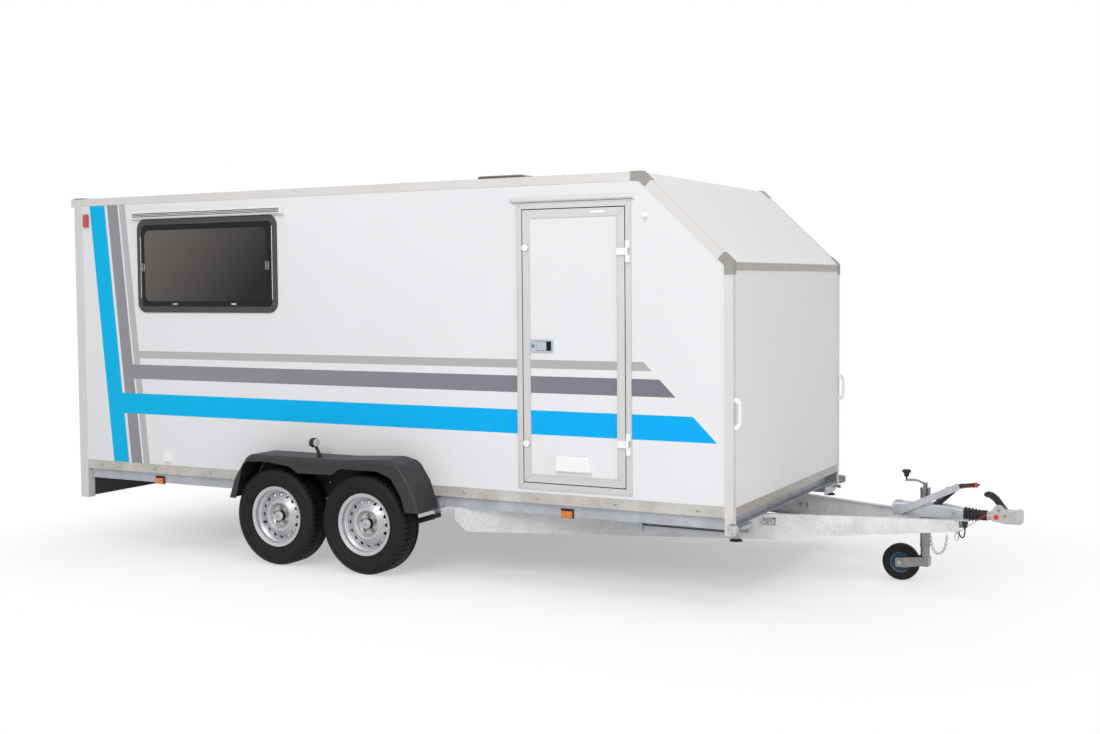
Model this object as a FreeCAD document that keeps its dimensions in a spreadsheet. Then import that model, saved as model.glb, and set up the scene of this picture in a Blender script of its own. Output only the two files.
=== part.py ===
import FreeCAD, Part
import math
import os
import re

import Sketcher
from FreeCAD import Placement, Rotation, Vector

# A tandem-axle box caravan with a side door, a rear loading ramp and an overrun drawbar.
# +X is forward, towards the coupling, -Y is the kerb side with the door, +Z is up.
# The origin lies on the ground under the middle of the whole outline.

# Driving dimensions in millimetres, grouped by the piece that they shape
SIZES = {
    # Body box
    "body_length": 5000,
    "body_width": 2080,
    "roof_height": 2430,
    "knee_setback": 540,
    "knee_drop": 515,
    "coupling_reach": 1365,
    "tail_overhang": 30,
    "trim_proud": 3,
    "panel_wall": 30,
    "roof_trim_width": 52,
    "front_trim_width": 50,
    "trim_return": 48,
    "front_post_drop": 31,
    "knee_block_length": 72,
    "knee_block_proud": 3,
    # Chassis
    "rail_bottom": 428,
    "rail_height": 69,
    "rail_inset": 30,
    "rail_flange": 60,
    "rail_gauge": 4,
    "rail_end_inset": 30,
    "sill_gauge": 3,
    "sill_height": 63,
    "cross_width": 50,
    # Rear portal
    "post_width": 75,
    "post_depth": 60,
    "post_drop": 144,
    "header_height": 55,
    "threshold_height": 57,
    "board_thickness": 25,
    # Rear ramp
    "ramp_thickness": 40,
    "ramp_frame_width": 46,
    "ramp_panel_recess": 4,
    "ramp_gap": 8,
    "ramp_side_gap": 6,
    "ramp_knuckle_radius": 7,
    "ramp_knuckle_length": 60,
    "knuckle_play": 0.3,
    "ramp_latch_drop": 562,
    "ramp_latch_height": 87,
    "ramp_latch_width": 46,
    "ramp_latch_depth": 24,
    # Side door
    "door_setback": 609,
    "door_length": 745,
    "door_sill_height": 83,
    "door_head_drop": 155,
    "door_frame_width": 35,
    "door_frame_proud": 6,
    "door_lip_width": 6,
    "door_lip_proud": 3,
    "door_gap": 6,
    "leaf_frame_width": 49,
    "leaf_panel_recess": 3,
    "leaf_thickness": 33,
    "hinge_radius": 8,
    "hinge_standoff": 13,
    "hinge_setback": 23,
    "hinge_length": 124,
    "hinge_inset": 295,
    "gutter_overhang": 30,
    "gutter_height": 26,
    "gutter_depth": 24,
    "gutter_gauge": 3,
    "lock_length": 148,
    "lock_height": 74,
    "lock_proud": 5,
    "lock_rise": 814,
    "knob_radius": 21,
    "knob_depth": 16,
    "vent_hood_length": 236,
    "vent_hood_height": 92,
    "vent_hood_depth": 30,
    "vent_hood_rise": 116,
    "holdback_setback": 88,
    "holdback_radius": 17,
    # Windows
    "window_from": 608,
    "window_length": 1234,
    "window_head_drop": 162,
    "window_height": 646,
    "window_frame_width": 42,
    "window_frame_proud": 12,
    "window_corner": 70,
    "window_rebate": 20,
    "pane_proud": 7,
    "pane_thickness": 26,
    "pane_gap": 3,
    "pane_edge": 9,
    "blind_overlap": 35,
    "blind_height": 55,
    "blind_depth": 34,
    "blind_cap_length": 20,
    "socket_from": 812,
    "socket_length": 74,
    "socket_height": 72,
    "socket_depth": 22,
    "socket_rise": 80,
    # Wheels
    "front_axle_setback": 2348,
    "axle_spacing": 690,
    "wheel_gap": 27.5,
    "tyre_radius": 315,
    "tyre_width": 195,
    "rim_radius": 195,
    "rim_width": 152,
    "bead_radius": 178,
    "well_radius": 160,
    "rim_gauge": 5,
    "ring_radius": 90,
    "hub_radius": 68,
    "hub_bore": 17.3,
    "hub_play": 0.3,
    "vent_radius": 9.5,
    "vent_pitch_radius": 138,
    "vent_count": 16,
    "hub_cap_radius": 32,
    "drum_radius": 115,
    "drum_width": 50,
    "brake_gap": 5,
    # Axles
    "torsion_lead": 160,
    "torsion_rise": 70,
    "torsion_tube": 80,
    "arm_thickness": 25,
    "arm_half_width": 38,
    "plate_gauge": 4,
    "damper_reach": 410,
    "damper_radius": 17,
    "damper_rod_radius": 9,
    "damper_standoff": 16,
    "damper_eye_radius": 14,
    # Mudguards
    "guard_side_gap": 12.5,
    "guard_gauge": 5,
    "guard_round": 95,
    "guard_shoulder": 26,
    "guard_arch_round": 30,
    "guard_lamp_radius": 22,
    "guard_lamp_length": 34,
    "guard_lamp_lean": 44,
    "guard_lamp_height": 88,
    # Drawbar
    "beam_tip_reach": 1025,
    "beam_tip_y": 82,
    "beam_heel_setback": 1820,
    "beam_height": 150,
    "beam_tip_height": 67,
    "beam_flange": 35,
    "beam_gauge": 4,
    "beam_drop": 15,
    "plan_slope": 0.33,
    "bracket_length": 110,
    "bracket_height": 62,
    # Overrun housing and coupling
    "housing_reach": 630,
    "housing_length": 410,
    "housing_half_width": 42,
    "housing_flange_width": 12,
    "housing_height": 76,
    "housing_round": 12,
    "housing_eye_radius": 20,
    "shaft_rise": 12,
    "bellows_length": 129,
    "bellows_radius": 43,
    "bellows_end_radius": 30,
    "bellows_cuff_length": 34,
    "fold_count": 5,
    "neck_radius": 26,
    "ball_radius": 25.1,
    "ball_setback": 45,
    "head_half_width": 34,
    "head_round": 9,
    "cheek_gauge": 4,
    "pivot_radius": 8,
    "button_radius": 14,
    "grip_width": 26,
    "grip_round": 8,
    # Handbrake
    "lever_reach": 690,
    "lever_gauge": 3,
    "lever_width": 38,
    "lever_depth": 22,
    "lever_length": 350,
    "lever_angle": 26,
    "bracket_gauge": 5,
    "hand_grip_length": 92,
    "hand_grip_radius": 14,
    "hand_ring_length": 9,
    "hand_button_radius": 6,
    "hand_button_length": 14,
    "hand_grip_angle": 8,
    # Jockey wheel
    "jockey_reach": 796,
    "jockey_y": 86,
    "jockey_tube_radius": 30,
    "jockey_inner_radius": 27,
    "jockey_play": 0.3,
    "jockey_tube_bottom": 215,
    "jockey_tube_rise": 139,
    "jockey_stem_bottom": 98,
    "jockey_neck_radius": 13,
    "jockey_neck_height": 30,
    "jockey_trail": 142,
    "jockey_wheel_radius": 110,
    "jockey_wheel_width": 60,
    "jockey_rim_radius": 60,
    "jockey_pin_radius": 8,
    "fork_gauge": 5,
    "fork_side_gap": 6,
    "crank_reach": 112,
    "crank_rise": 18,
    "crank_radius": 6,
    "knob_height": 62,
    "crank_knob_radius": 26,
    "clamp_rise": 10,
    "clamp_height": 45,
    "clamp_gauge": 8,
    # Front steadies
    "steady_y": 915,
    "steady_pivot_setback": 630,
    "steady_length": 601,
    "steady_width": 40,
    "steady_leg_height": 32,
    "steady_gauge": 4,
    "steady_side_gap": 5,
    "steady_pin_radius": 8,
    "steady_play": 0.3,
    "steady_foot_radius": 38,
    "steady_foot_height": 15,
    "steady_screw_radius": 8,
    "steady_screw_reach": 45,
    "steady_hex_radius": 12,
    # Fittings
    "grab_from": 561,
    "grab_length": 176,
    "grab_reach": 40,
    "grab_width": 22,
    "grab_gauge": 12,
    "grab_inset": 14,
    "grab_round": 5,
    "roof_vent_setback": 1970,
    "roof_vent_size": 400,
    "roof_vent_rise": 100,
    "roof_vent_lip": 22,
    "marker_length": 72,
    "marker_height": 40,
    "marker_depth": 18,
    "marker_bracket_gauge": 3,
    "corner_lamp_height": 92,
    "corner_lamp_width": 46,
    "corner_lamp_drop": 110,
    "front_lamp_height": 52,
    "front_lamp_depth": 36,
    "tail_lamp_length": 240,
    "tail_lamp_height": 110,
    "tail_lamp_depth": 28,
    # Chain and cables
    "link_wire": 4,
    "link_length": 26,
    "link_width": 16,
    "link_play": 2.4,
    "chain_from": 157,
    "chain_eye_drop": 10,
    "hook_length": 46,
    "hook_width": 26,
    "hook_setback": 8,
    "hook_drop": 18,
    "cable_radius": 4,
    "gland_radius": 10,
    "gland_length": 44,
    "wire_radius": 2,
    "plug_radius": 17,
    "plug_length": 44,
}

# Places worked out from the driving dimensions
PLACES = {
    "mid": "(body_length + coupling_reach - tail_overhang) / 2",
    "rear_x": "-mid",
    "front_x": "body_length - mid",
    "nose_x": "body_length + coupling_reach - mid",
    "side_y": "body_width / 2",
    "skin_y": "side_y - trim_proud",
    "inner_y": "skin_y - panel_wall",
    "skin_top": "roof_height - trim_proud",
    "inner_top": "skin_top - panel_wall",
    "slope_length": "sqrt(knee_setback ^ 2 + knee_drop ^ 2)",
    "upper_share": "(slope_length - knee_setback) / knee_drop",
    "lower_share": "(slope_length - knee_drop) / knee_setback",
    "knee_top_x": "front_x - knee_setback",
    "knee_low_z": "roof_height - knee_drop",
    "rail_top": "rail_bottom + rail_height",
    "deck_z": "rail_top + sill_gauge",
    "rail_y": "side_y - rail_inset",
    "front_post_foot": "rail_bottom - front_post_drop",
    "post_foot": "rail_bottom - post_drop",
    "portal_y": "side_y - post_depth",
    "header_z": "roof_height - header_height",
    "pivot_x": "rear_x - ramp_gap",
    "pivot_z": "rail_top",
    "ramp_z": "rail_top + ramp_gap",
    "ramp_top": "header_z - ramp_side_gap",
    "ramp_y": "portal_y - ramp_side_gap",
    "door_end_x": "front_x - door_setback",
    "door_x": "door_end_x - door_length",
    "door_bottom": "deck_z + door_sill_height",
    "door_top": "roof_height - door_head_drop",
    "door_face_y": "skin_y + door_frame_proud",
    "leaf_x": "door_x + door_frame_width + door_gap",
    "leaf_end_x": "door_end_x - door_frame_width - door_gap",
    "leaf_z": "door_bottom + door_frame_width + door_gap",
    "leaf_top": "door_top - door_frame_width - door_gap",
    "leaf_inner_y": "door_face_y - leaf_thickness",
    "leaf_panel_y": "door_face_y - leaf_panel_recess",
    "hinge_x": "door_end_x - hinge_setback",
    "hinge_y": "door_face_y + hinge_standoff",
    "hinge_upper_z": "door_top - hinge_inset",
    "hinge_lower_z": "door_bottom + hinge_inset",
    "window_x": "rear_x + window_from",
    "window_end_x": "window_x + window_length",
    "window_top": "roof_height - window_head_drop",
    "window_bottom": "window_top - window_height",
    "wheel_y": "side_y + wheel_gap + tyre_width / 2",
    "front_wheel_x": "front_x - front_axle_setback",
    "rear_wheel_x": "front_wheel_x - axle_spacing",
    "guard_reach": "wheel_y + tyre_width / 2 + guard_side_gap",
    "guard_mid_x": "rear_wheel_x + axle_spacing / 2",
    "guard_top": "tyre_radius * 2.265",
    "drum_back": "rim_width * 0.66",
    "spindle_end": "rim_width * 0.3",
    "beam_tip_x": "front_x + beam_tip_reach",
    "beam_stretch": "sqrt(1 + plan_slope ^ 2)",
    "beam_length": "(beam_tip_reach + beam_heel_setback) * beam_stretch",
    "beam_front_run": "beam_tip_reach * beam_stretch",
    "beam_tip_foot": "rail_bottom - beam_drop - beam_tip_height",
    "beam_waist_foot": "rail_bottom - beam_height * 0.74",
    "housing_x": "front_x + housing_reach",
    "housing_end_x": "housing_x + housing_length",
    "housing_foot": "rail_bottom - beam_drop",
    "flange_top": "housing_foot + 2 * rail_gauge",
    "shaft_z": "rail_bottom + shaft_rise",
    "head_x": "housing_end_x + bellows_length",
    "head_length": "nose_x - head_x",
    "ball_x": "nose_x - ball_setback",
    "lever_x": "front_x + lever_reach",
    "lever_z": "flange_top + lever_width * 0.6 + lever_gauge",
    "lever_y": "housing_half_width + bracket_gauge",
    "lever_run": "lever_length + lever_width / 2",
    "jockey_x": "front_x + jockey_reach",
    "jockey_wheel_x": "jockey_x - jockey_trail",
    "jockey_tube_top": "rail_bottom + jockey_tube_rise",
    "crank_z": "jockey_tube_top + jockey_neck_height",
    "steady_x": "front_x - steady_pivot_setback",
    "steady_foot_x": "steady_x + steady_length",
    "steady_screw_z": "rail_bottom - steady_gauge - steady_side_gap - steady_screw_radius",
    "steady_z": "steady_screw_z - steady_screw_radius - steady_side_gap - steady_leg_height / 2",
    "plug_x": "beam_tip_x + 2 * plug_radius",
    "gland_x": "housing_end_x - 2 * plug_radius",
    "eyelet_x": "head_x + neck_radius * 0.6",
    "eyelet_y": "neck_radius * 1.3",
    "eyelet_z": "shaft_z + neck_radius * 0.85",
    "wire_y": "eyelet_y + wire_radius * 1.1",
    "hook_in": "beam_flange * 0.77",
    "hook_back": "hook_setback - link_wire * 1.4",
    "hook_x": "beam_tip_x - (hook_back + hook_in * plan_slope) / beam_stretch",
    "hook_y": "beam_tip_y - (hook_in - hook_back * plan_slope) / beam_stretch",
    "hook_z": "beam_tip_foot - hook_drop + 2 * link_wire + wire_radius",
    "chain_y": "beam_flange / 2",
    "link_pitch": "link_length - 2 * link_wire - link_play",
}

# Unit direction along which the walls' plates are pushed out
ACROSS = Vector(0, 1, 0)
PARALLEL_SHARE = 0.999

doc = FreeCAD.newDocument("Caravan")
sheet = doc.addObject("Spreadsheet::Sheet", "Sizes")
places = doc.addObject("App::VarSet", "Places")
probe = doc.addObject("App::VarSet", "Probe")
probe.addProperty("App::PropertyFloat", "number", "Probe")
nodes = []


def link(text):
    """Return an expression with each size and place named by the object that holds it."""

    def full_name(match):
        word = match.group(0)
        if word in SIZES:
            return "Sizes." + word
        if word in PLACES:
            return "Places." + word
        return word

    return re.sub(r"[a-z_][a-z0-9_]*", full_name, str(text))


def fill_sheet():
    """Write the driving dimensions to the sheet and the worked-out places beside it."""
    for row, (name, size) in enumerate(SIZES.items(), start=1):
        sheet.set(f"A{row}", name)
        sheet.set(f"B{row}", str(size))
        sheet.setAlias(f"B{row}", name)
    for name, text in PLACES.items():
        places.addProperty("App::PropertyFloat", name, "Places")
        places.setExpression(name, link(text))
    doc.recompute()


def number(text):
    """Return the present value of an expression."""
    probe.setExpression("number", link(text))
    doc.recompute([probe])
    return probe.number


def bind(item, **texts):
    """Bind properties to expressions; a double underscore stands for a dot."""
    for name, text in texts.items():
        item.setExpression(name.replace("__", "."), link(text))
    return item


def keep(item, label):
    """Name a finished sub-part and put it on the list of nodes."""
    item.Label = label
    nodes.append(item)
    return item


def place(item, x="0", y="0", z="0"):
    """Bind the place of an object."""
    return bind(item, Placement__Base__x=x, Placement__Base__y=y, Placement__Base__z=z)


def turned_about_y(item, angle):
    """Tilt an object about the Y axis by a bound angle."""
    item.Placement = Placement(Vector(), Rotation(Vector(0, 1, 0), 1))
    return bind(item, Placement__Rotation__Angle=angle)


# Sketched pieces

def body(name):
    return doc.addObject("PartDesign::Body", name)


def sketch(owner, plane, at="0"):
    """Start a sketch on one of the body's own planes, moved along its normal."""
    support = [face for face in owner.Origin.OriginFeatures if face.Role == plane + "_Plane"][0]
    item = owner.newObject("Sketcher::SketchObject", owner.Name + "_sketch")
    item.AttachmentSupport = [(support, "")]
    item.MapMode = "FlatFace"
    bind(item, AttachmentOffset__Base__z=at)
    return item


def pin_point(item, geometry, end, across, up):
    """Hold one end of a line at two bound distances from the sketch's origin."""
    for kind, text in (("DistanceX", across), ("DistanceY", up)):
        rule = Sketcher.Constraint(kind, -1, 1, geometry, end, number(text))
        index = item.addConstraint(rule)
        item.setExpression(f"Constraints[{index}]", link(text))


def outline(item, points):
    """Add a closed outline of straight lines through points given as expressions."""
    corners = [Vector(number(across), number(up), 0) for across, up in points]
    first = item.GeometryCount
    count = len(points)
    for index, corner in enumerate(corners):
        item.addGeometry(Part.LineSegment(corner, corners[(index + 1) % count]), False)
    for index, (across, up) in enumerate(points):
        following = first + (index + 1) % count
        item.addConstraint(Sketcher.Constraint("Coincident", first + index, 2, following, 1))
        pin_point(item, first + index, 1, across, up)
    return item


def rectangle(item, left, right, low, high):
    return outline(item, [(left, low), (right, low), (right, high), (left, high)])


def circle(item, across, up, radius):
    """Add a circle with a bound centre and radius."""
    centre = Vector(number(across), number(up), 0)
    index = item.addGeometry(Part.Circle(centre, Vector(0, 0, 1), number(radius)), False)
    pin_point(item, index, 3, across, up)
    rule = item.addConstraint(Sketcher.Constraint("Radius", index, number(radius)))
    item.setExpression(f"Constraints[{rule}]", link(radius))
    return item


def pad(owner, profile, length, both=False, back=False):
    item = owner.newObject("PartDesign::Pad", owner.Name + "_pad")
    item.Profile = profile
    item.SideType = "Symmetric" if both else "One side"
    item.Reversed = back
    return bind(item, Length=length)


def pocket(owner, profile, length, both=False, back=False):
    item = owner.newObject("PartDesign::Pocket", owner.Name + "_pocket")
    item.Profile = profile
    item.SideType = "Symmetric" if both else "One side"
    item.Reversed = back
    return bind(item, Length=length)


def revolve(owner, profile, axis="V_Axis"):
    item = owner.newObject("PartDesign::Revolution", owner.Name + "_turned")
    item.Profile = profile
    item.ReferenceAxis = (profile, [axis])
    item.Angle = 360
    return item


def polar(owner, feature, axis, count):
    """Repeat a feature around one of the body's own axes."""
    line = [face for face in owner.Origin.OriginFeatures if face.Role == axis + "_Axis"][0]
    item = owner.newObject("PartDesign::PolarPattern", owner.Name + "_pattern")
    item.Originals = [feature]
    item.Axis = (line, [""])
    item.Angle = 360
    bind(item, Occurrences=count)
    owner.Tip = item
    return item


def fillet(owner, base, radius, wanted):
    """Round the edges of a feature that the wanted test picks."""
    doc.recompute()
    names = [f"Edge{index}" for index, edge in enumerate(base.Shape.Edges, start=1) if wanted(edge)]
    item = owner.newObject("PartDesign::Fillet", owner.Name + "_fillet")
    item.Base = (base, names)
    return bind(item, Radius=radius)


def runs_along(edge, axis):
    """Tell whether an edge is a straight line along an axis."""
    return edge.Curve.TypeId == "Part::GeomLine" and abs(edge.Curve.Direction.dot(axis)) > PARALLEL_SHARE


def runs_across(edge):
    """Tell whether an edge is a straight line across the vehicle."""
    return runs_along(edge, ACROSS)


def lies_at(edge, axis, text):
    """Tell whether a whole edge lies in a plane across an axis, at a bound distance from the origin."""
    at = number(text)
    margin = number("trim_proud") * (1 - PARALLEL_SHARE)
    return all(abs(vertex.Point.dot(axis) - at) < margin for vertex in edge.Vertexes)


def side_plate(name, points, at, thickness, corner=None, edge=None):
    """Make a plate that stands along the vehicle, from a distance outwards on the right.

    The corners of its outline and the edge of its outer face can each be rounded.
    """
    plate = body(name)
    profile = sketch(plate, "XZ", at)
    outline(profile, points)
    solid = pad(plate, profile, thickness)
    if corner:
        solid = fillet(plate, solid, corner, runs_across)
    if edge:
        fillet(plate, solid, edge, lambda line: lies_at(line, ACROSS, f"-(({at}) + ({thickness}))"))
    return plate


def middle_plate(name, points, width, corner=None):
    """Make a plate that stands along the vehicle, as wide to the left as to the right."""
    return side_plate(name, points, f"-({width}) / 2", width, corner)


def along_piece(name, points, start, length):
    """Make a straight piece along the vehicle from its section seen from the front."""
    piece = body(name)
    section = sketch(piece, "YZ")
    outline(section, points)
    pad(piece, section, length)
    return place(piece, x=start)


def lathe(name, points, along):
    """Turn an outline of radius and distance pairs about one of the body's own axes."""
    piece = body(name)
    profile = sketch(piece, "XY" if along == "Y" else "XZ")
    if along == "X":
        outline(profile, [(distance, radius) for radius, distance in points])
        revolve(piece, profile, "H_Axis")
    else:
        outline(profile, points)
        revolve(piece, profile)
    return piece


# Pieces from plain solids

def block(name, x, y, z):
    """Make a box between bound limits: each of x, y and z is a pair of expressions."""
    item = doc.addObject("Part::Box", name)
    bind(item, Length=f"({x[1]}) - ({x[0]})", Width=f"({y[1]}) - ({y[0]})", Height=f"({z[1]}) - ({z[0]})")
    return place(item, x[0], y[0], z[0])


TURNS = {
    "x": Rotation(Vector(0, 0, 1), Vector(1, 0, 0)),
    "y": Rotation(Vector(0, 0, 1), Vector(0, 1, 0)),
    "z": Rotation(),
}


def rod(name, axis, start, radius, length):
    """Make a cylinder that starts at a bound point and runs along an axis."""
    item = doc.addObject("Part::Cylinder", name)
    item.Placement = Placement(Vector(), TURNS[axis])
    bind(item, Radius=radius, Height=length)
    return place(item, *start)


def fused(name, pieces):
    item = doc.addObject("Part::MultiFuse", name)
    item.Shapes = pieces
    return item


def cut(name, base, tool):
    item = doc.addObject("Part::Cut", name)
    item.Base = base
    item.Tool = tool
    return item


def group(name, pieces):
    """Hold like pieces of one body together as solids that don't touch."""
    item = doc.addObject("Part::Compound", name)
    item.Links = pieces
    return item


def mirrored(name, source):
    """Make the other side's copy of a piece."""
    item = doc.addObject("Part::Mirroring", name)
    item.Source = source
    item.Normal = ACROSS
    return item


def both_sides(name, source):
    return group(name, [source, mirrored(name + "_left", source)])


# Body panels

def top_knee(depth):
    """Return the upper knee's corner at a depth below the outer skin."""
    return f"knee_top_x - ({depth}) * upper_share", f"roof_height - ({depth})"


def low_knee(depth):
    """Return the lower knee's corner at a depth behind the outer skin."""
    return f"front_x - ({depth})", f"knee_low_z - ({depth}) * lower_share"


def on_slope(start, along, depth):
    """Return a point at a distance down the slope from a knee and at a depth below its skin."""
    x, z = start
    return (f"{x} + (({along}) * knee_setback - ({depth}) * knee_drop) / slope_length",
            f"{z} - (({along}) * knee_drop + ({depth}) * knee_setback) / slope_length")


INNER = "trim_proud + panel_wall"


def side_wall(side):
    """Make one side wall, split from its neighbours where the real panels meet."""
    right = side == "right"
    wall = body("side_wall_" + side)
    profile = sketch(wall, "XZ")
    outline(profile, [
        ("rear_x + post_width", "deck_z"),
        ("front_x - trim_proud", "deck_z"),
        low_knee("trim_proud"),
        top_knee("trim_proud"),
        ("rear_x + post_width", "skin_top"),
    ])
    pad(wall, profile, "panel_wall")
    hole = sketch(wall, "XZ")
    rebate = "window_frame_width - window_rebate"
    rectangle(hole, f"window_x + {rebate}", f"window_end_x - ({rebate})",
              f"window_bottom + {rebate}", f"window_top - ({rebate})")
    opening = pocket(wall, hole, "panel_wall * 4", both=True)
    low, high = number("window_x"), number("window_end_x")
    fillet(wall, opening, f"window_corner - ({rebate})",
           lambda edge: runs_across(edge) and low < edge.CenterOfMass.x < high)
    if right:
        doorway = sketch(wall, "XZ")
        rectangle(doorway, "door_x + door_frame_width / 2", "door_end_x - door_frame_width / 2",
                  "door_bottom + door_frame_width / 2", "door_top - door_frame_width / 2")
        pocket(wall, doorway, "panel_wall * 4", both=True)
    place(wall, y="-inner_y" if right else "skin_y")
    return keep(wall, "side_wall_" + side)


def cross_panel(name, points, half_width="inner_y"):
    """Make a panel that spans between the side walls from its side outline."""
    return keep(middle_plate(name, points, f"2 * ({half_width})"), name)


def panels():
    """Make the walls, roof, slope, front and floor."""
    side_wall("right")
    side_wall("left")
    cross_panel("roof_panel", [
        ("rear_x + post_width", "inner_top"),
        top_knee(INNER),
        top_knee("trim_proud"),
        ("rear_x + post_width", "skin_top"),
    ])
    cross_panel("slope_panel", [
        top_knee(INNER),
        low_knee(INNER),
        low_knee("trim_proud"),
        top_knee("trim_proud"),
    ])
    cross_panel("front_panel", [
        ("front_x - panel_wall - trim_proud", "deck_z"),
        ("front_x - trim_proud", "deck_z"),
        low_knee("trim_proud"),
        low_knee(INNER),
    ])
    cross_panel("floor_panel", [
        ("rear_x + post_width", "deck_z"),
        ("front_x - panel_wall - trim_proud", "deck_z"),
        ("front_x - panel_wall - trim_proud", "deck_z + panel_wall"),
        ("rear_x + post_width", "deck_z + panel_wall"),
    ])


def knee_block(name, corner, before, after, width):
    """Make a corner casting that caps the trims where two of them meet."""
    face = side_plate(name + "_face", [before("0"), corner("0"), after("0"), after(width),
                                       corner(width), before(width)],
                      "side_y", "knee_block_proud")
    crown = side_plate(name + "_crown", [before("0"), corner("0"), after("0"), after("-knee_block_proud"),
                                         corner("-knee_block_proud"), before("-knee_block_proud")],
                       "side_y - trim_return", "trim_return + knee_block_proud")
    return [face, crown]


def edge_trim():
    """Make the angle trim along roof edge, slope and front post of one side."""
    trim = body("edge_trim")
    face = sketch(trim, "XZ", "skin_y")
    outline(face, [
        ("front_x", "front_post_foot"),
        low_knee("0"),
        top_knee("0"),
        ("rear_x + post_width", "roof_height"),
        ("rear_x + post_width", "roof_height - roof_trim_width"),
        top_knee("roof_trim_width"),
        low_knee("front_trim_width"),
        ("front_x - front_trim_width", "front_post_foot"),
    ])
    pad(trim, face, "trim_proud")
    rim = sketch(trim, "XZ", "side_y - trim_return")
    outline(rim, [
        ("front_x", "front_post_foot"),
        low_knee("0"),
        top_knee("0"),
        ("rear_x + post_width", "roof_height"),
        ("rear_x + post_width", "skin_top"),
        top_knee("trim_proud"),
        low_knee("trim_proud"),
        ("front_x - trim_proud", "front_post_foot"),
    ])
    pad(trim, rim, "trim_return")
    blocks = knee_block(
        "upper_block", top_knee,
        lambda depth: ("knee_top_x - knee_block_length", f"roof_height - ({depth})"),
        lambda depth: on_slope(top_knee("0"), "knee_block_length", depth),
        "roof_trim_width")
    blocks += knee_block(
        "lower_block", low_knee,
        lambda depth: on_slope(low_knee("0"), "-knee_block_length", depth),
        lambda depth: (f"front_x - ({depth})", "knee_low_z - knee_block_length"),
        "front_trim_width")
    keep(both_sides("edge_trims", fused("edge_trim_parts", [trim] + blocks)), "edge_trims")
    strips = []
    for name, low, high in (("kick", "deck_z", "deck_z + front_trim_width"),
                            ("brow", "knee_low_z - front_trim_width", "knee_low_z - 2 * trim_proud")):
        strips.append(block(name + "_strip", ("front_x - trim_proud", "front_x"),
                            ("trim_return - side_y", "side_y - trim_return"), (low, high)))
    keep(group("front_strip_pair", strips), "front_strips")


# Chassis

def chassis():
    """Make the side rails, cross members and sill rails."""
    rail = along_piece("chassis_rail", [
        ("-rail_y", "rail_bottom"),
        ("rail_flange - rail_y", "rail_bottom"),
        ("rail_flange - rail_y", "rail_bottom + rail_gauge"),
        ("rail_gauge - rail_y", "rail_bottom + rail_gauge"),
        ("rail_gauge - rail_y", "rail_top - rail_gauge"),
        ("rail_flange - rail_y", "rail_top - rail_gauge"),
        ("rail_flange - rail_y", "rail_top"),
        ("-rail_y", "rail_top"),
    ], "rear_x + post_width", "body_length - rail_end_inset - post_width")
    keep(both_sides("chassis_rail_pair", rail), "chassis_rails")
    sill = along_piece("sill_rail", [
        ("-side_y", "rail_top"),
        ("rail_flange - rail_y", "rail_top"),
        ("rail_flange - rail_y", "deck_z"),
        ("-skin_y", "deck_z"),
        ("-skin_y", "rail_top + sill_height"),
        ("-side_y", "rail_top + sill_height"),
    ], "rear_x + post_width", "body_length - post_width - front_trim_width")
    keep(both_sides("sill_rail_pair", sill), "sill_rails")
    members = []
    member_shares = (0.2, 0.33, 0.6, 0.78)
    starts = [f"rear_x + body_length * {share} - cross_width / 2" for share in member_shares]
    starts.append("front_x - rail_end_inset - cross_width")
    for index, start in enumerate(starts, start=1):
        member = middle_plate(f"cross_member_{index}", [
            ("0", "rail_bottom"),
            ("cross_width", "rail_bottom"),
            ("cross_width", "rail_bottom + rail_gauge"),
            ("rail_gauge", "rail_bottom + rail_gauge"),
            ("rail_gauge", "rail_top - rail_gauge"),
            ("cross_width", "rail_top - rail_gauge"),
            ("cross_width", "rail_top"),
            ("0", "rail_top"),
        ], "2 * (rail_y - rail_flange)")
        members.append(place(member, x=start))
    keep(group("cross_member_set", members), "cross_members")


def drawbar():
    """Make the two converging drawbar beams under the frame, each with its bolting plate."""
    beam = body("drawbar_beam")
    side = sketch(beam, "XZ")
    top = "rail_bottom"
    outline(side, [
        ("-beam_length", f"{top} - beam_height / 2"),
        ("beam_height / 2 - beam_length", f"{top} - beam_height"),
        ("-beam_front_run", f"{top} - beam_height"),
        ("-beam_front_run / 2", "beam_waist_foot"),
        ("0", "beam_tip_foot"),
        ("0", "housing_foot"),
        ("-beam_tip_height", "housing_foot"),
        ("-beam_front_run", top),
        ("-beam_length", top),
    ])
    pad(beam, side, "beam_flange", back=True)
    hollow = sketch(beam, "XZ", "-beam_gauge")
    outline(hollow, [
        ("-beam_length * 1.01", f"{top} - beam_height / 2 + beam_gauge"),
        ("beam_height / 2 - beam_length + beam_gauge / 2", f"{top} - beam_height + beam_gauge"),
        ("-beam_front_run", f"{top} - beam_height + beam_gauge"),
        ("-beam_front_run / 2", "beam_waist_foot + beam_gauge"),
        ("beam_gauge", "beam_tip_foot + beam_gauge"),
        ("beam_gauge", "housing_foot - beam_gauge"),
        ("-beam_tip_height", "housing_foot - beam_gauge"),
        ("-beam_front_run", f"{top} - beam_gauge"),
        ("-beam_length * 1.01", f"{top} - beam_gauge"),
    ])
    pocket(beam, hollow, "beam_flange", back=False)
    bolting = sketch(beam, "XZ")
    rectangle(bolting, "-beam_front_run - bracket_length * 0.4", "bracket_length * 0.6 - beam_front_run",
              f"{top} - beam_gauge - bracket_height", f"{top} - beam_gauge")
    pad(beam, bolting, "beam_gauge")
    beam.Placement = Placement(Vector(), Rotation(Vector(0, 0, 1), 1))
    bind(beam, Placement__Rotation__Angle="atan(plan_slope)")
    place(beam, x="beam_tip_x", y="-beam_tip_y")
    keep(both_sides("drawbar_beam_pair", beam), "drawbar_beams")


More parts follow.
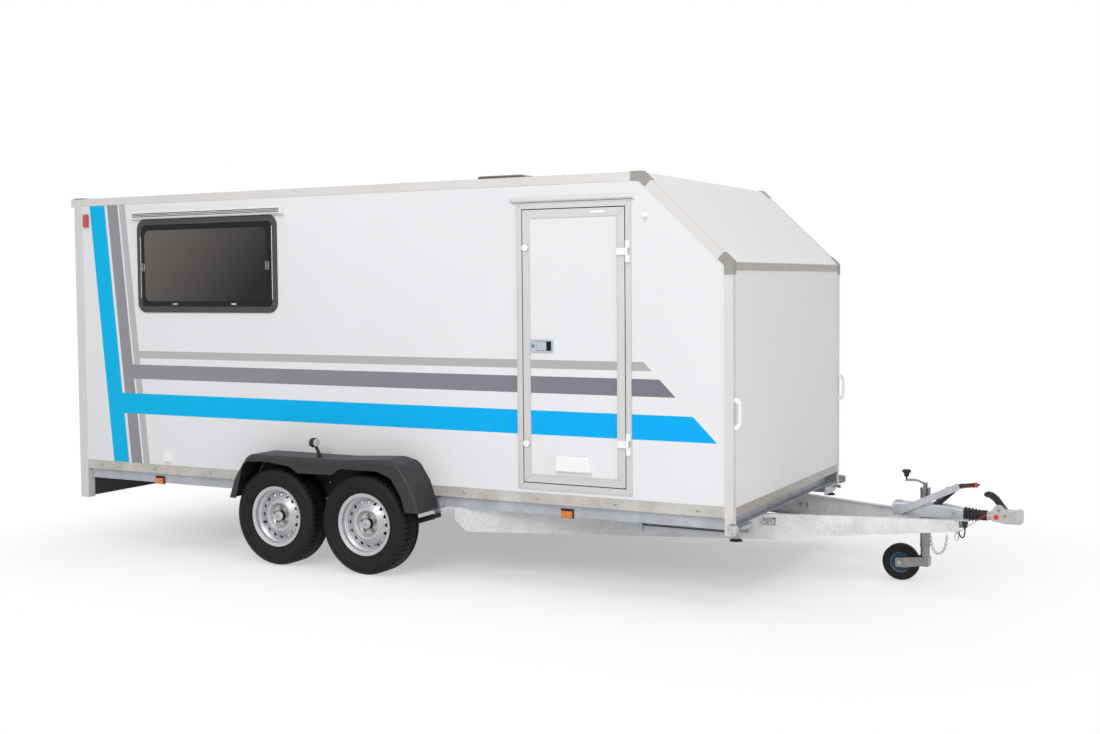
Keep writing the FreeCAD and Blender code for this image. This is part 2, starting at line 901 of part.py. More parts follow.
def overrun():
    """Make the overrun housing with its foot flange, rear eye and the shelf for the parked plug."""
    housing = body("overrun_box")
    side = sketch(housing, "XZ")
    outline(side, [
        ("housing_x", "housing_foot"),
        ("housing_end_x", "housing_foot"),
        ("housing_end_x", "housing_foot + housing_height * 0.78"),
        ("housing_end_x - housing_length * 0.25", "housing_foot + housing_height"),
        ("housing_x", "housing_foot + housing_height"),
    ])
    solid = pad(housing, side, "2 * housing_half_width", both=True)
    crown = number("housing_foot + housing_height * 0.7")
    fillet(housing, solid, "housing_round",
           lambda edge: not runs_across(edge) and min(end.Point.z for end in edge.Vertexes) > crown)
    flange = block("housing_flange", ("housing_x", "housing_end_x"),
                   ("-housing_half_width - housing_flange_width", "housing_half_width + housing_flange_width"),
                   ("housing_foot", "flange_top"))
    eye_place = ("housing_x + housing_eye_radius * 1.5", "0")
    crown_z = "housing_foot + housing_height"
    eye = cut("housing_eye",
              rod("eye_ring", "z", (*eye_place, f"{crown_z} - housing_round"), "housing_eye_radius",
                  "housing_round * 1.6"),
              rod("eye_hole", "z", (*eye_place, f"{crown_z} - housing_round / 2"), "housing_eye_radius * 0.6",
                  "housing_round * 2"))
    hole = rod("eye_well", "z", (*eye_place, f"{crown_z} - housing_round / 2"), "housing_eye_radius * 0.6",
               "housing_round * 2")
    shelf = block("plug_shelf", ("gland_x", "plug_x + plug_radius"),
                  ("-beam_tip_y - plug_radius", "-housing_half_width - housing_flange_width"),
                  ("housing_foot", "flange_top"))
    keep(fused("overrun_parts", [cut("overrun_shell", housing, hole), flange, eye, shelf]), "overrun_housing")


def bellows():
    """Make the rubber bellows: folds that taper forward and end in a plain cuff."""
    count = int(SIZES["fold_count"])
    run = "(bellows_length - bellows_cuff_length)"
    fold_shares = ((0.0, 0.8), (0.25, 1.0), (0.55, 1.0), (0.8, 0.8))
    points = [("0", "0")]
    for index in range(count):
        taper = f"(bellows_radius - (bellows_radius - bellows_end_radius) * {index / count})"
        for along_share, radius_share in fold_shares:
            points.append((f"{taper} * {radius_share}", f"{run} * {(index + along_share) / count}"))
    points += [("bellows_end_radius", run), ("bellows_end_radius", "bellows_length"), ("0", "bellows_length")]
    keep(place(lathe("draw_bellows", points, "X"), x="housing_end_x", z="shaft_z"), "draw_bellows")


# Outlines of the coupling as shares of the head's length forward and of the neck's radius up
HEAD_SHARES = [(0.15, -1.0), (0.35, -1.15), (0.5, -1.4), (0.98, -1.4), (1.0, -0.6), (1.0, 1.2), (0.93, 1.8),
               (0.8, 1.5), (0.3, 1.5), (0.15, 1.0)]
CHEEK_SHARES = [(0.1, 1.0), (0.28, 2.75), (0.43, 2.75), (0.67, 0.6), (0.82, -0.4), (0.52, -1.3), (0.23, -1.08),
                (0.11, -0.58)]
HANDLE_SHARES = [(0.33, 1.5), (0.3, 2.3), (0.18, 3.4), (0.05, 4.1), (-0.05, 4.25), (-0.1, 4.7), (-0.06, 5.2),
                 (0.03, 5.4), (0.16, 5.15), (0.31, 4.3), (0.43, 3.1), (0.53, 1.5)]


def on_head(shares):
    """Return a place on the coupling head's side from its shares of length and neck radius."""
    along, up = shares
    return f"head_x + head_length * {along}", f"shaft_z + neck_radius * {up}"


def coupling():
    """Make the ball coupling head with its neck, cheeks, pivots, buttons and curved handle."""
    head = middle_plate("coupling_casting", [on_head(share) for share in HEAD_SHARES], "2 * head_half_width",
                        "head_round")
    neck = rod("coupling_neck", "x", ("head_x", "0", "shaft_z"), "neck_radius", "head_length * 0.3")
    cheek = side_plate("coupling_cheek", [on_head(share) for share in CHEEK_SHARES], "head_half_width",
                       "cheek_gauge", "head_round")
    reach = "(head_half_width + 2 * cheek_gauge)"
    rods = []
    for name, share, radius in (("pivot", (0.36, 2.4), "pivot_radius"), ("anchor", (0.59, 0.55), "pivot_radius * 0.7"),
                                ("button", (0.28, 0), "button_radius")):
        x, z = on_head(share)
        rods.append(rod("coupling_" + name, "y", (x, f"-{reach}", z), radius, f"2 * {reach}"))
    eyelet = rod("coupling_eyelet", "y", ("eyelet_x", "-eyelet_y", "eyelet_z"), "wire_radius * 2", "eyelet_y")
    solid = fused("coupling_solid", [head, neck, cheek, mirrored("coupling_cheek_left", cheek), eyelet] + rods)
    socket = fused("ball_socket", [ball("ball_round"), rod(
        "ball_well", "z", ("ball_x", "0", "shaft_z - 2 * head_half_width"), "ball_radius", "2 * head_half_width")])
    keep(cut("coupling_shell", solid, socket), "coupling_head")
    grip = middle_plate("coupling_grip", [on_head(share) for share in HANDLE_SHARES], "grip_width", "grip_round")
    x, z = on_head((0.36, 2.4))
    bore = rod("grip_bore", "y", (x, "-grip_width", z), "pivot_radius + jockey_play", "2 * grip_width")
    keep(cut("coupling_grip_bored", grip, bore), "coupling_handle")


def ball(name):
    item = doc.addObject("Part::Sphere", name)
    bind(item, Radius="ball_radius")
    return place(item, "ball_x", "0", "shaft_z")


# Outlines beside the handbrake as shares of the lever's width, from its pivot
BRACKET_SHARES = [(-0.9, -0.55), (2.9, -0.55), (2.6, 0.55), (1.9, 0.85), (0.6, 0.5)]
BOOT_SHARES = [(0.0, 0.0), (1.95, 2.7), (2.6, 2.75), (3.6, 2.4), (3.3, 2.0), (1.7, 0.45), (1.2, 0.0)]


def handbrake():
    """Make the handbrake's bracket, channel lever, grip with ring and button, and rubber boot."""
    bracket = side_plate("lever_bracket", [(f"lever_x + lever_width * {across}", f"lever_z + lever_width * {up}")
                                           for across, up in BRACKET_SHARES],
                         "housing_half_width", "bracket_gauge")
    lever = body("lever_channel")
    web = sketch(lever, "XZ", "lever_y")
    rectangle(web, "-lever_width / 2", "lever_run", "-lever_width / 2", "lever_width / 2")
    fillet(lever, pad(lever, web, "lever_depth"), "lever_width / 4", runs_across)
    inside = sketch(lever, "XZ", "lever_y")
    rectangle(inside, "0", "lever_run - lever_gauge", "lever_gauge - lever_width / 2",
              "lever_width / 2 - lever_gauge")
    pocket(lever, inside, "lever_depth - lever_gauge", back=True)
    turned_about_y(lever, "-lever_angle")
    place(lever, "lever_x", "0", "lever_z")
    keep(fused("handbrake_parts", [bracket, lever]), "handbrake_lever")

    points = [("0", "0"), ("hand_grip_radius * 0.8", "0"), ("hand_grip_radius * 1.05", "hand_grip_length * 0.1"),
              ("hand_grip_radius * 0.9", "hand_grip_length * 0.5"), ("hand_grip_radius", "hand_grip_length"),
              ("hand_grip_radius * 1.1", "hand_grip_length"),
              ("hand_grip_radius * 1.1", "hand_grip_length + hand_ring_length"),
              ("hand_button_radius", "hand_grip_length + hand_ring_length"),
              ("hand_button_radius", "hand_grip_length + hand_ring_length + hand_button_length"),
              ("0", "hand_grip_length + hand_ring_length + hand_button_length")]
    grip = lathe("hand_grip", points, "X")
    turned_about_y(grip, "-hand_grip_angle")
    place(grip, "lever_x + lever_run * cos(lever_angle)", "-lever_y - lever_depth / 2",
          "lever_z + lever_run * sin(lever_angle)")
    boot = side_plate("brake_boot", [
        (f"lever_x + lever_length / 2 + lever_width * {across}", f"housing_foot + housing_height + lever_width * {up}")
        for across, up in BOOT_SHARES], "0", "housing_half_width * 0.7", "lever_gauge")
    keep(group("handbrake_grips", [cut("hand_grip_end", grip, lever), boot]), "handbrake_grip")


# Wheels and axles: outlines as shares of the rim's width outwards from its middle
BARREL_SHARES = [("rim_radius", -0.5, 0), ("rim_radius", -0.5, 1), ("bead_radius", -0.44, 0), ("bead_radius", -0.26, 0),
                 ("well_radius", -0.18, 0), ("well_radius", 0.18, 0), ("bead_radius", 0.26, 0),
                 ("bead_radius", 0.44, 0), ("rim_radius", 0.5, -1), ("rim_radius", 0.5, 0)]
DISC_SHARES = [("bead_radius - rim_gauge", 0.46), ("bead_radius - rim_gauge", 0.29),
               ("well_radius - rim_gauge", 0.21), ("well_radius - 2 * rim_gauge", 0.12),
               ("vent_pitch_radius + vent_radius", 0.13), ("ring_radius + 3 * rim_gauge", 0.27),
               ("ring_radius + rim_gauge", 0.325), ("ring_radius - rim_gauge", 0.315),
               ("hub_radius + rim_gauge", 0.2), ("hub_radius - rim_gauge", 0.14),
               ("hub_cap_radius + rim_gauge", 0.12), ("hub_cap_radius", 0.16), ("hub_cap_radius", 0.31),
               ("hub_cap_radius * 0.8", 0.37), ("hub_cap_radius * 0.4", 0.39), ("0", 0.39)]
BACK_SHARES = [("drum_radius", 0.04), ("vent_pitch_radius - vent_radius", 0.14),
               ("vent_pitch_radius + vent_radius", 0.09), ("well_radius - rim_gauge", 0.07),
               ("well_radius - rim_gauge", -0.17), ("bead_radius - rim_gauge", -0.25),
               ("bead_radius - rim_gauge", -0.46)]
TYRE_SHARES = [("bead_radius", 0.26, 0), ("bead_radius", 0.44, 0), ("rim_radius", 0.5, -1),
               ("rim_radius + rim_gauge", 0.5, 0)]
SIDEWALL_SHARES = [(0.76, 0.47), (0.85, 0.5), (0.93, 0.475), (0.975, 0.43), (1.0, 0.34)]


def wheel(name, axle_x, side):
    """Make one road wheel: the steel rim with its brake drum, and the tyre on it."""
    turn = Rotation(Vector(0, 0, 1), 0 if side == "left" else 180)
    wheel_place = "wheel_y" if side == "left" else "-wheel_y"
    points = [(radius, f"rim_width * {share} + rim_gauge * {steps}") for radius, share, steps in BARREL_SHARES]
    points += [(radius, f"rim_width * {share}") for radius, share in DISC_SHARES]
    points += [("0", "spindle_end + rim_gauge"), ("hub_bore", "spindle_end + rim_gauge"),
               ("hub_bore", "-drum_back"), ("drum_radius", "-drum_back"),
               ("drum_radius", "drum_width - drum_back"), ("drum_radius * 0.7", "drum_width - drum_back + rim_gauge"),
               ("drum_radius * 0.7", "rim_width * 0.03")]
    points += [(radius, f"rim_width * {share}") for radius, share in BACK_SHARES]
    rim = lathe("wheel_" + name, points, "Y")
    hole = sketch(rim, "XZ", "-rim_width / 2")
    circle(hole, "vent_pitch_radius", "0", "vent_radius")
    vent = pocket(rim, hole, "rim_width * 0.48", back=False)
    polar(rim, vent, "Y", "vent_count")
    rim.Placement = Placement(Vector(), turn)
    place(rim, axle_x, wheel_place, "tyre_radius")
    keep(rim, "rim_" + name)

    half = [(radius, f"rim_width * {share} + rim_gauge * {steps}") for radius, share, steps in TYRE_SHARES]
    half += [(f"tyre_radius * {rise}", f"tyre_width * {reach}") for rise, reach in SIDEWALL_SHARES]
    tyre = lathe("rubber_" + name, half + [(radius, f"-({along})") for radius, along in reversed(half)], "Y")
    tyre.Placement = Placement(Vector(), turn)
    place(tyre, axle_x, wheel_place, "tyre_radius")
    keep(tyre, "tyre_" + name)


# A trailing arm's outline as shares of its half width, from the wheel's centre
ARM_FOOT_SHARES = [(-1.0, -1.0), (0.4, -1.0), (0.9, -2.0), (1.7, -2.0), (2.1, -0.7)]


def axle(name, axle_x):
    """Make a torsion axle: square tube, pads, trailing arms, spindles and backplates."""
    tube_x = f"({axle_x}) + torsion_lead"
    tube_z = "tyre_radius + torsion_rise"
    half = "torsion_tube / 2"
    arm_y = "(rail_y - arm_thickness)"
    pieces = [block(name + "_tube", (f"{tube_x} - {half}", f"{tube_x} + {half}"), (f"-({arm_y})", arm_y),
                    (f"{tube_z} - {half}", f"{tube_z} + {half}"))]
    foot = [(f"{axle_x} + arm_half_width * {across}", f"tyre_radius + arm_half_width * {up}")
            for across, up in ARM_FOOT_SHARES]
    arm = side_plate(name + "_arm", foot + [
        (f"{tube_x} + arm_half_width", f"{tube_z} - arm_half_width"),
        (f"{tube_x} + arm_half_width", f"{tube_z} + arm_half_width"),
        (f"{tube_x} - arm_half_width", f"{tube_z} + arm_half_width"),
        (f"{axle_x} - arm_half_width", "tyre_radius + arm_half_width"),
    ], arm_y, "arm_thickness")
    spindle = rod(name + "_spindle", "y", (axle_x, "-wheel_y - spindle_end", "tyre_radius"),
                  "hub_bore - hub_play", f"wheel_y + spindle_end - {arm_y}")
    plate = rod(name + "_backplate", "y", (axle_x, "drum_back + brake_gap - wheel_y", "tyre_radius"),
                "drum_radius", "plate_gauge")
    pad_plate = block(name + "_pad", (f"{tube_x} - torsion_tube", f"{tube_x} + torsion_tube"),
                      ("-rail_y", "rail_flange - rail_y"), (f"{tube_z} + {half}", "rail_bottom"))
    one_side = fused(name + "_right_end", [arm, spindle, plate, pad_plate])
    pieces += [one_side, mirrored(name + "_left_end", one_side)]
    keep(fused(name + "_parts", pieces), name)


def damper(name, axle_x):
    """Make one damper that leans from a bracket on the rail down to the trailing arm."""
    top_x = f"{axle_x} + damper_reach"
    top_z = "rail_bottom - arm_half_width * 1.5"
    foot_x = f"{axle_x} + arm_half_width * 1.3"
    foot_z = "tyre_radius - arm_half_width * 1.5"
    run = f"sqrt(({top_x} - ({foot_x})) ^ 2 + ({top_z} - ({foot_z})) ^ 2)"
    lean = f"atan(({top_z} - ({foot_z})) / ({top_x} - ({foot_x})))"
    bracket = side_plate(name + "_bracket", [
        (f"{top_x} - damper_radius * 3.5", "rail_top - rail_gauge * 3"),
        (f"{top_x} - damper_radius * 3.5", "rail_bottom - rail_gauge"),
        (f"{top_x} - damper_eye_radius", f"{top_z} - damper_eye_radius"),
        (f"{top_x} + damper_eye_radius", f"{top_z} - damper_eye_radius"),
        (f"{top_x} + damper_radius", "rail_top - rail_gauge * 3"),
    ], "rail_y", "plate_gauge")
    strut = lathe(name + "_strut", [
        ("0", "0"), ("damper_rod_radius", "0"), ("damper_rod_radius", f"{run} * 0.3"),
        ("damper_radius", f"{run} * 0.3"), ("damper_radius", f"{run} * 0.92"),
        ("damper_rod_radius", f"{run} * 0.94"), ("damper_rod_radius", run), ("0", run)], "X")
    turned_about_y(strut, f"-({lean})")
    place(strut, foot_x, "-rail_y - damper_standoff", foot_z)
    eyes = [rod(name + "_top_eye", "y", (top_x, "-rail_y - damper_standoff * 2", top_z),
                "damper_eye_radius", "damper_standoff * 2"),
            rod(name + "_foot_eye", "y", (foot_x, "-rail_y - damper_standoff * 2", foot_z),
                "damper_eye_radius", "damper_standoff * 2")]
    return fused(name, [bracket, strut] + eyes)


def dampers():
    """Make the dampers of both axles on both sides."""
    one_side = [damper("damper_front", "front_wheel_x"), damper("damper_rear", "rear_wheel_x")]
    keep(group("damper_set", one_side + [mirrored(item.Name + "_left", item) for item in one_side]), "dampers")


# Places along the mudguard as shares of the axle spacing from its middle and of the tyre radius up
GUARD_CROWN_SHARES = [(-1.036, 1.33), (-0.962, 1.771), (-0.799, 2.265), (0.232, 2.265),
                      (0.759, 2.321), (0.916, 2.238), (1.03, 1.87), (1.117, 1.33)]
GUARD_ARCH_SHARES = [(-0.942, 1.2), (-0.942, 1.33), (-0.854, 2.03), (-0.8, 2.11), (-0.604, 2.137), (-0.3, 2.07),
                     (-0.201, 1.943), (0.19, 1.959), (0.268, 2.089), (0.684, 2.092), (0.83, 1.978),
                     (0.938, 1.625), (0.981, 1.33), (0.981, 1.2)]


def guard_solid(name, points, reach, inset):
    """Make the mudguard's outer or inner form: rounded along its crown and at its shoulder."""
    form = body(name)
    profile = sketch(form, "XZ", "side_y")
    outline(profile, points)
    solid = pad(form, profile, f"{reach} - side_y")
    foot = number("guard_top") / 2
    crown = fillet(form, solid, f"guard_round - {inset}",
                   lambda edge: runs_across(edge) and edge.CenterOfMass.z > foot * 1.2)
    ends = number("tyre_radius * 1.35")
    fillet(form, crown, f"guard_shoulder - {inset}",
           lambda edge: lies_at(edge, ACROSS, f"-({reach})") and edge.CenterOfMass.z > ends)
    return form


def mudguard():
    """Make the moulded tandem mudguard of each side as an open shell."""
    crown = [(f"guard_mid_x + axle_spacing * {across}", f"tyre_radius * {up}") for across, up in GUARD_CROWN_SHARES]
    narrowing = "(1 - guard_gauge / axle_spacing)"
    inner = [(f"guard_mid_x + axle_spacing * {across} * {narrowing}", f"tyre_radius * {up} - guard_gauge")
             for across, up in GUARD_CROWN_SHARES]
    inner[0] = (inner[0][0], "tyre_radius")
    inner[-1] = (inner[-1][0], "tyre_radius")
    shell = cut("guard_shell", guard_solid("guard_outer", crown, "guard_reach", "0"),
                guard_solid("guard_inner", inner, "(guard_reach - guard_gauge)", "guard_gauge"))
    arch = side_plate("guard_arch", [(f"guard_mid_x + axle_spacing * {across}", f"tyre_radius * {up}")
                                     for across, up in GUARD_ARCH_SHARES],
                      "guard_reach - guard_shoulder", "2 * guard_shoulder", "guard_arch_round")
    guard = keep(cut("guard_parts", shell, arch), "mudguard_right")
    keep(mirrored("mudguard_mirror", guard), "mudguard_left")


# Openings

def inset_limits(limits, inset):
    """Return a rectangle's left, right, low and high limits moved inwards."""
    left, right, low, high = limits
    return (f"{left} + ({inset})", f"{right} - ({inset})", f"{low} + ({inset})", f"{high} - ({inset})")


def side_panel(name, limits, at, thickness, corner=None, edge=None):
    """Make an upright rectangular plate on the right side."""
    left, right, low, high = limits
    return side_plate(name, [(left, low), (right, low), (right, high), (left, high)], at, thickness, corner, edge)


WINDOW = ("window_x", "window_end_x", "window_bottom", "window_top")
BLIND_SHARES = [(0.0, 0.0), (0.75, 0.0), (1.0, 0.1), (1.0, 0.27), (0.88, 0.32), (1.0, 0.37), (1.0, 0.6), (0.88, 0.65),
                (1.0, 0.7), (1.0, 0.86), (0.75, 1.0), (0.0, 1.0)]


def blind_piece(name, shares, start, length, growth):
    """Make a length of the blind box from its section, grown a little for an end cap."""
    points = [(f"-skin_y - blind_depth * {out * growth}", f"window_top + blind_height * {up}") for out, up in shares]
    return along_piece(name, points, start, length)


def windows():
    """Make the window frames, raised panes and ridged blind boxes of both sides."""
    rebate = "window_frame_width - window_rebate"
    frame = cut("window_ring", fused("window_solid", [
        side_panel("window_flange", WINDOW, "skin_y", "window_frame_proud", "window_corner", "window_frame_proud / 2"),
        side_panel("window_liner", inset_limits(WINDOW, rebate), "inner_y", "panel_wall",
                   f"window_corner - ({rebate})"),
    ]), side_panel("window_clear", inset_limits(WINDOW, "window_frame_width"), "inner_y - panel_wall",
                   "panel_wall * 4", "window_corner - window_frame_width"))
    keep(both_sides("window_frame_pair", frame), "window_frames")
    pane = fused("window_pane", [
        side_panel("pane_back", inset_limits(WINDOW, "window_frame_width"),
                   "skin_y + window_frame_proud - pane_thickness", "pane_thickness - window_frame_proud",
                   "window_corner - window_frame_width"),
        side_panel("pane_front", inset_limits(WINDOW, "window_frame_width + pane_gap"), "skin_y",
                   "window_frame_proud + pane_proud", "window_corner - window_frame_width - pane_gap", "pane_edge"),
    ])
    keep(both_sides("window_pane_pair", pane), "window_panes")
    start = "window_x - blind_overlap"
    length = "window_length + blind_overlap * 2.9"
    blind = fused("blind_parts", [
        blind_piece("blind_extrusion", BLIND_SHARES, start, length, 1),
        blind_piece("blind_cap_rear", BLIND_SHARES[:3] + BLIND_SHARES[-3:], start, "blind_cap_length", 1.08),
        blind_piece("blind_cap_front", BLIND_SHARES[:3] + BLIND_SHARES[-3:],
                    f"{start} + ({length}) - blind_cap_length", "blind_cap_length", 1.08),
    ])
    keep(both_sides("blind_pair", blind), "blind_boxes")


DOOR = ("door_x", "door_end_x", "door_bottom", "door_top")
LEAF = ("leaf_x", "leaf_end_x", "leaf_z", "leaf_top")


def ring_pad(owner, limits, inset, at, thickness):
    """Add a rectangular ring of a bound width to a body."""
    ring = sketch(owner, "XZ", at)
    rectangle(ring, *limits)
    rectangle(ring, *inset_limits(limits, inset))
    return pad(owner, ring, thickness)


def door():
    """Make the side door's frame, its leaf and the hinges."""
    frame = body("door_surround")
    ring_pad(frame, DOOR, "door_frame_width", "skin_y", "door_frame_proud")
    ring_pad(frame, DOOR, "door_lip_width", "skin_y + door_frame_proud", "door_lip_proud")
    ring_pad(frame, inset_limits(DOOR, "door_frame_width / 2"), "door_frame_width / 2", "inner_y", "panel_wall")
    keep(frame, "door_frame")

    leaf = body("leaf_frame")
    ring_pad(leaf, LEAF, "leaf_frame_width", "leaf_inner_y", "leaf_thickness")
    ring_pad(leaf, inset_limits(LEAF, "leaf_frame_width - door_lip_width"), "door_lip_width", "door_face_y",
             "door_lip_proud")
    keep(leaf, "door_leaf_frame")
    keep(side_panel("leaf_panel", inset_limits(LEAF, "leaf_frame_width"), "leaf_inner_y",
                    "leaf_thickness - leaf_panel_recess"), "door_leaf_panel")
    fixed, moving = [], []
    third = "hinge_length / 3"
    for name in ("hinge_upper", "hinge_lower"):
        middle = name + "_z"
        for index in (-1, 1):
            low = f"{middle} + {index} * {third} - {third} / 2"
            high = f"{middle} + {index} * {third} + {third} / 2"
            knuckle = rod(f"{name}_knuckle_{index + 2}", "z", ("hinge_x", "-hinge_y", low), "hinge_radius", third)
            ear = block(f"{name}_ear_{index + 2}", ("hinge_x", "door_end_x - door_lip_width"),
                        ("-hinge_y", "-door_face_y"), (low, high))
            fixed.append(fused(f"{name}_fixed_{index + 2}", [knuckle, ear]))
        low = f"{middle} - {third} / 2 + knuckle_play"
        knuckle = rod(f"{name}_middle", "z", ("hinge_x", "-hinge_y", low), "hinge_radius",
                      f"{third} - 2 * knuckle_play")
        strap = block(f"{name}_strap", ("leaf_end_x - leaf_frame_width + door_lip_width", "hinge_x"),
                      ("-hinge_y", "-door_face_y"), (low, f"{middle} + {third} / 2 - knuckle_play"))
        moving.append(fused(f"{name}_moving", [knuckle, strap]))
    keep(group("hinge_fixed_halves", fixed), "door_hinge_mounts")
    keep(group("hinge_moving_halves", moving), "door_hinge_straps")


def turn_knob(name, x, z):
    """Make one round turn knob on its stem, on the leaf's frame."""
    stem = rod(name + "_stem", "y", (x, "-door_face_y - knob_depth", z), "knob_radius / 3", "knob_depth")
    head = side_plate(name + "_head", [(f"{x} + knob_radius * {across}", f"{z} + knob_radius * {up}")
                                       for across, up in KNOB_SHARES],
                      "door_face_y + knob_depth * 0.3", "knob_depth * 0.7")
    return fused(name, [stem, head])


# A knob's scalloped rim as shares of its radius
KNOB_SHARES = [(round(math.cos(math.radians(turn)) * reach, 3), round(math.sin(math.radians(turn)) * reach, 3))
               for turn, reach in zip(range(0, 360, 20), (1, 0.9) * 9)]


def door_hardware():
    """Make the leaf's lock, knobs, vent hood and top catch."""
    lock = ("leaf_x + leaf_frame_width + door_gap / 2", "leaf_x + leaf_frame_width + door_gap / 2 + lock_length",
            "door_bottom + lock_rise", "door_bottom + lock_rise + lock_height")
    left, right, low, high = lock
    plate = side_panel("lock_plate", lock, "leaf_panel_y", "leaf_panel_recess + lock_proud", "lock_proud",
                       "lock_proud / 2")
    well = side_panel("lock_well", (f"{left} + lock_length * 0.34", f"{right} - lock_height * 0.12",
                                    f"{low} + lock_height * 0.14", f"{high} - lock_height * 0.14"),
                      "leaf_panel_y + leaf_panel_recess", "2 * lock_proud", "lock_proud")
    paddle = side_panel("lock_paddle", (f"{left} + lock_length * 0.36", f"{right} - lock_height * 0.3",
                                        f"{low} + lock_height * 0.2", f"{high} - lock_height * 0.2"),
                        "leaf_panel_y", "leaf_panel_recess + lock_proud * 0.6")
    cylinder = rod("lock_cylinder", "y", (f"{left} + lock_length * 0.16", "-leaf_panel_y - lock_proud * 2.2",
                                          f"{low} + lock_height / 2"), "lock_height * 0.17", "lock_proud * 2.2")
    handle = fused("lock_parts", [cut("lock_face", plate, well), paddle, cylinder])
    knob_x = "leaf_x + leaf_frame_width * 0.45"
    knobs = [turn_knob("upper_knob", knob_x, "leaf_top - leaf_frame_width * 4.5"),
             turn_knob("lower_knob", knob_x, "leaf_z + leaf_frame_width * 4.7")]
    hood_x = "leaf_end_x - leaf_frame_width - vent_hood_length * 1.7"
    hood_z = "door_bottom + vent_hood_rise"
    hood = side_plate("vent_hood", [
        (hood_x, hood_z), (f"{hood_x} + vent_hood_length", hood_z),
        (f"{hood_x} + vent_hood_length * 0.94", f"{hood_z} + vent_hood_height"),
        (f"{hood_x} + vent_hood_length * 0.06", f"{hood_z} + vent_hood_height"),
    ], "leaf_panel_y", "vent_hood_depth", "vent_hood_depth / 4", "vent_hood_depth / 3")
    catch = block("leaf_catch", ("hinge_x - leaf_frame_width * 4.8", "hinge_x - leaf_frame_width * 2.8"),
                  ("-door_face_y - lock_proud", "-door_face_y"),
                  ("leaf_top - leaf_frame_width * 0.6", "leaf_top - leaf_frame_width * 0.35"))
    keep(group("leaf_hardware", [handle, hood, catch] + knobs), "door_fittings")


GUTTER_SHARES = [(0.0, 0.0), (0.6, 0.0), (0.9, 0.15), (1.0, 0.4), (1.0, 0.6), (0.9, 0.85), (0.6, 1.0), (0.0, 1.0)]


def wall_hardware():
    """Make the door's gutter, the holdback and the mains socket box on the right wall."""
    start = "door_x - gutter_overhang"
    length = "door_length + gutter_overhang * 1.7"
    gutter = fused("gutter", [
        along_piece(name, [(f"-skin_y - gutter_depth * {out * growth}",
                            f"door_top + gutter_gauge + gutter_height * {up}") for out, up in GUTTER_SHARES],
                    place_x, run)
        for name, place_x, run, growth in (
            ("gutter_run", start, length, 1),
            ("gutter_cap_rear", start, "2 * gutter_gauge", 1.1),
            ("gutter_cap_front", f"{start} + {length} - 2 * gutter_gauge", "2 * gutter_gauge", 1.1))])
    hold_x = "door_end_x + holdback_setback"
    hold_z = "door_top - leaf_frame_width * 1.9"
    holdback = lathe("holdback", [
        ("0", "0"), ("holdback_radius", "0"), ("holdback_radius", "holdback_radius * 0.3"),
        ("holdback_radius * 0.45", "holdback_radius * 0.5"), ("holdback_radius * 0.4", "holdback_radius * 1.3"),
        ("holdback_radius * 0.75", "holdback_radius * 1.5"), ("holdback_radius * 0.7", "holdback_radius * 1.95"),
        ("0", "holdback_radius * 2.05")], "Y")
    holdback.Placement = Placement(Vector(), Rotation(Vector(0, 0, 1), 180))
    place(holdback, hold_x, "-skin_y", hold_z)
    box = ("rear_x + socket_from", "rear_x + socket_from + socket_length", "deck_z + socket_rise",
           "deck_z + socket_rise + socket_height")
    socket = fused("socket_box", [
        side_panel("socket_plate", box, "skin_y", "socket_depth * 0.35", "socket_depth / 3"),
        side_panel("socket_lid", inset_limits(box, "socket_depth / 3"), "skin_y", "socket_depth",
                   "socket_depth / 3", "socket_depth / 5")])
    keep(group("wall_hardware", [gutter, holdback, socket]), "wall_fittings")


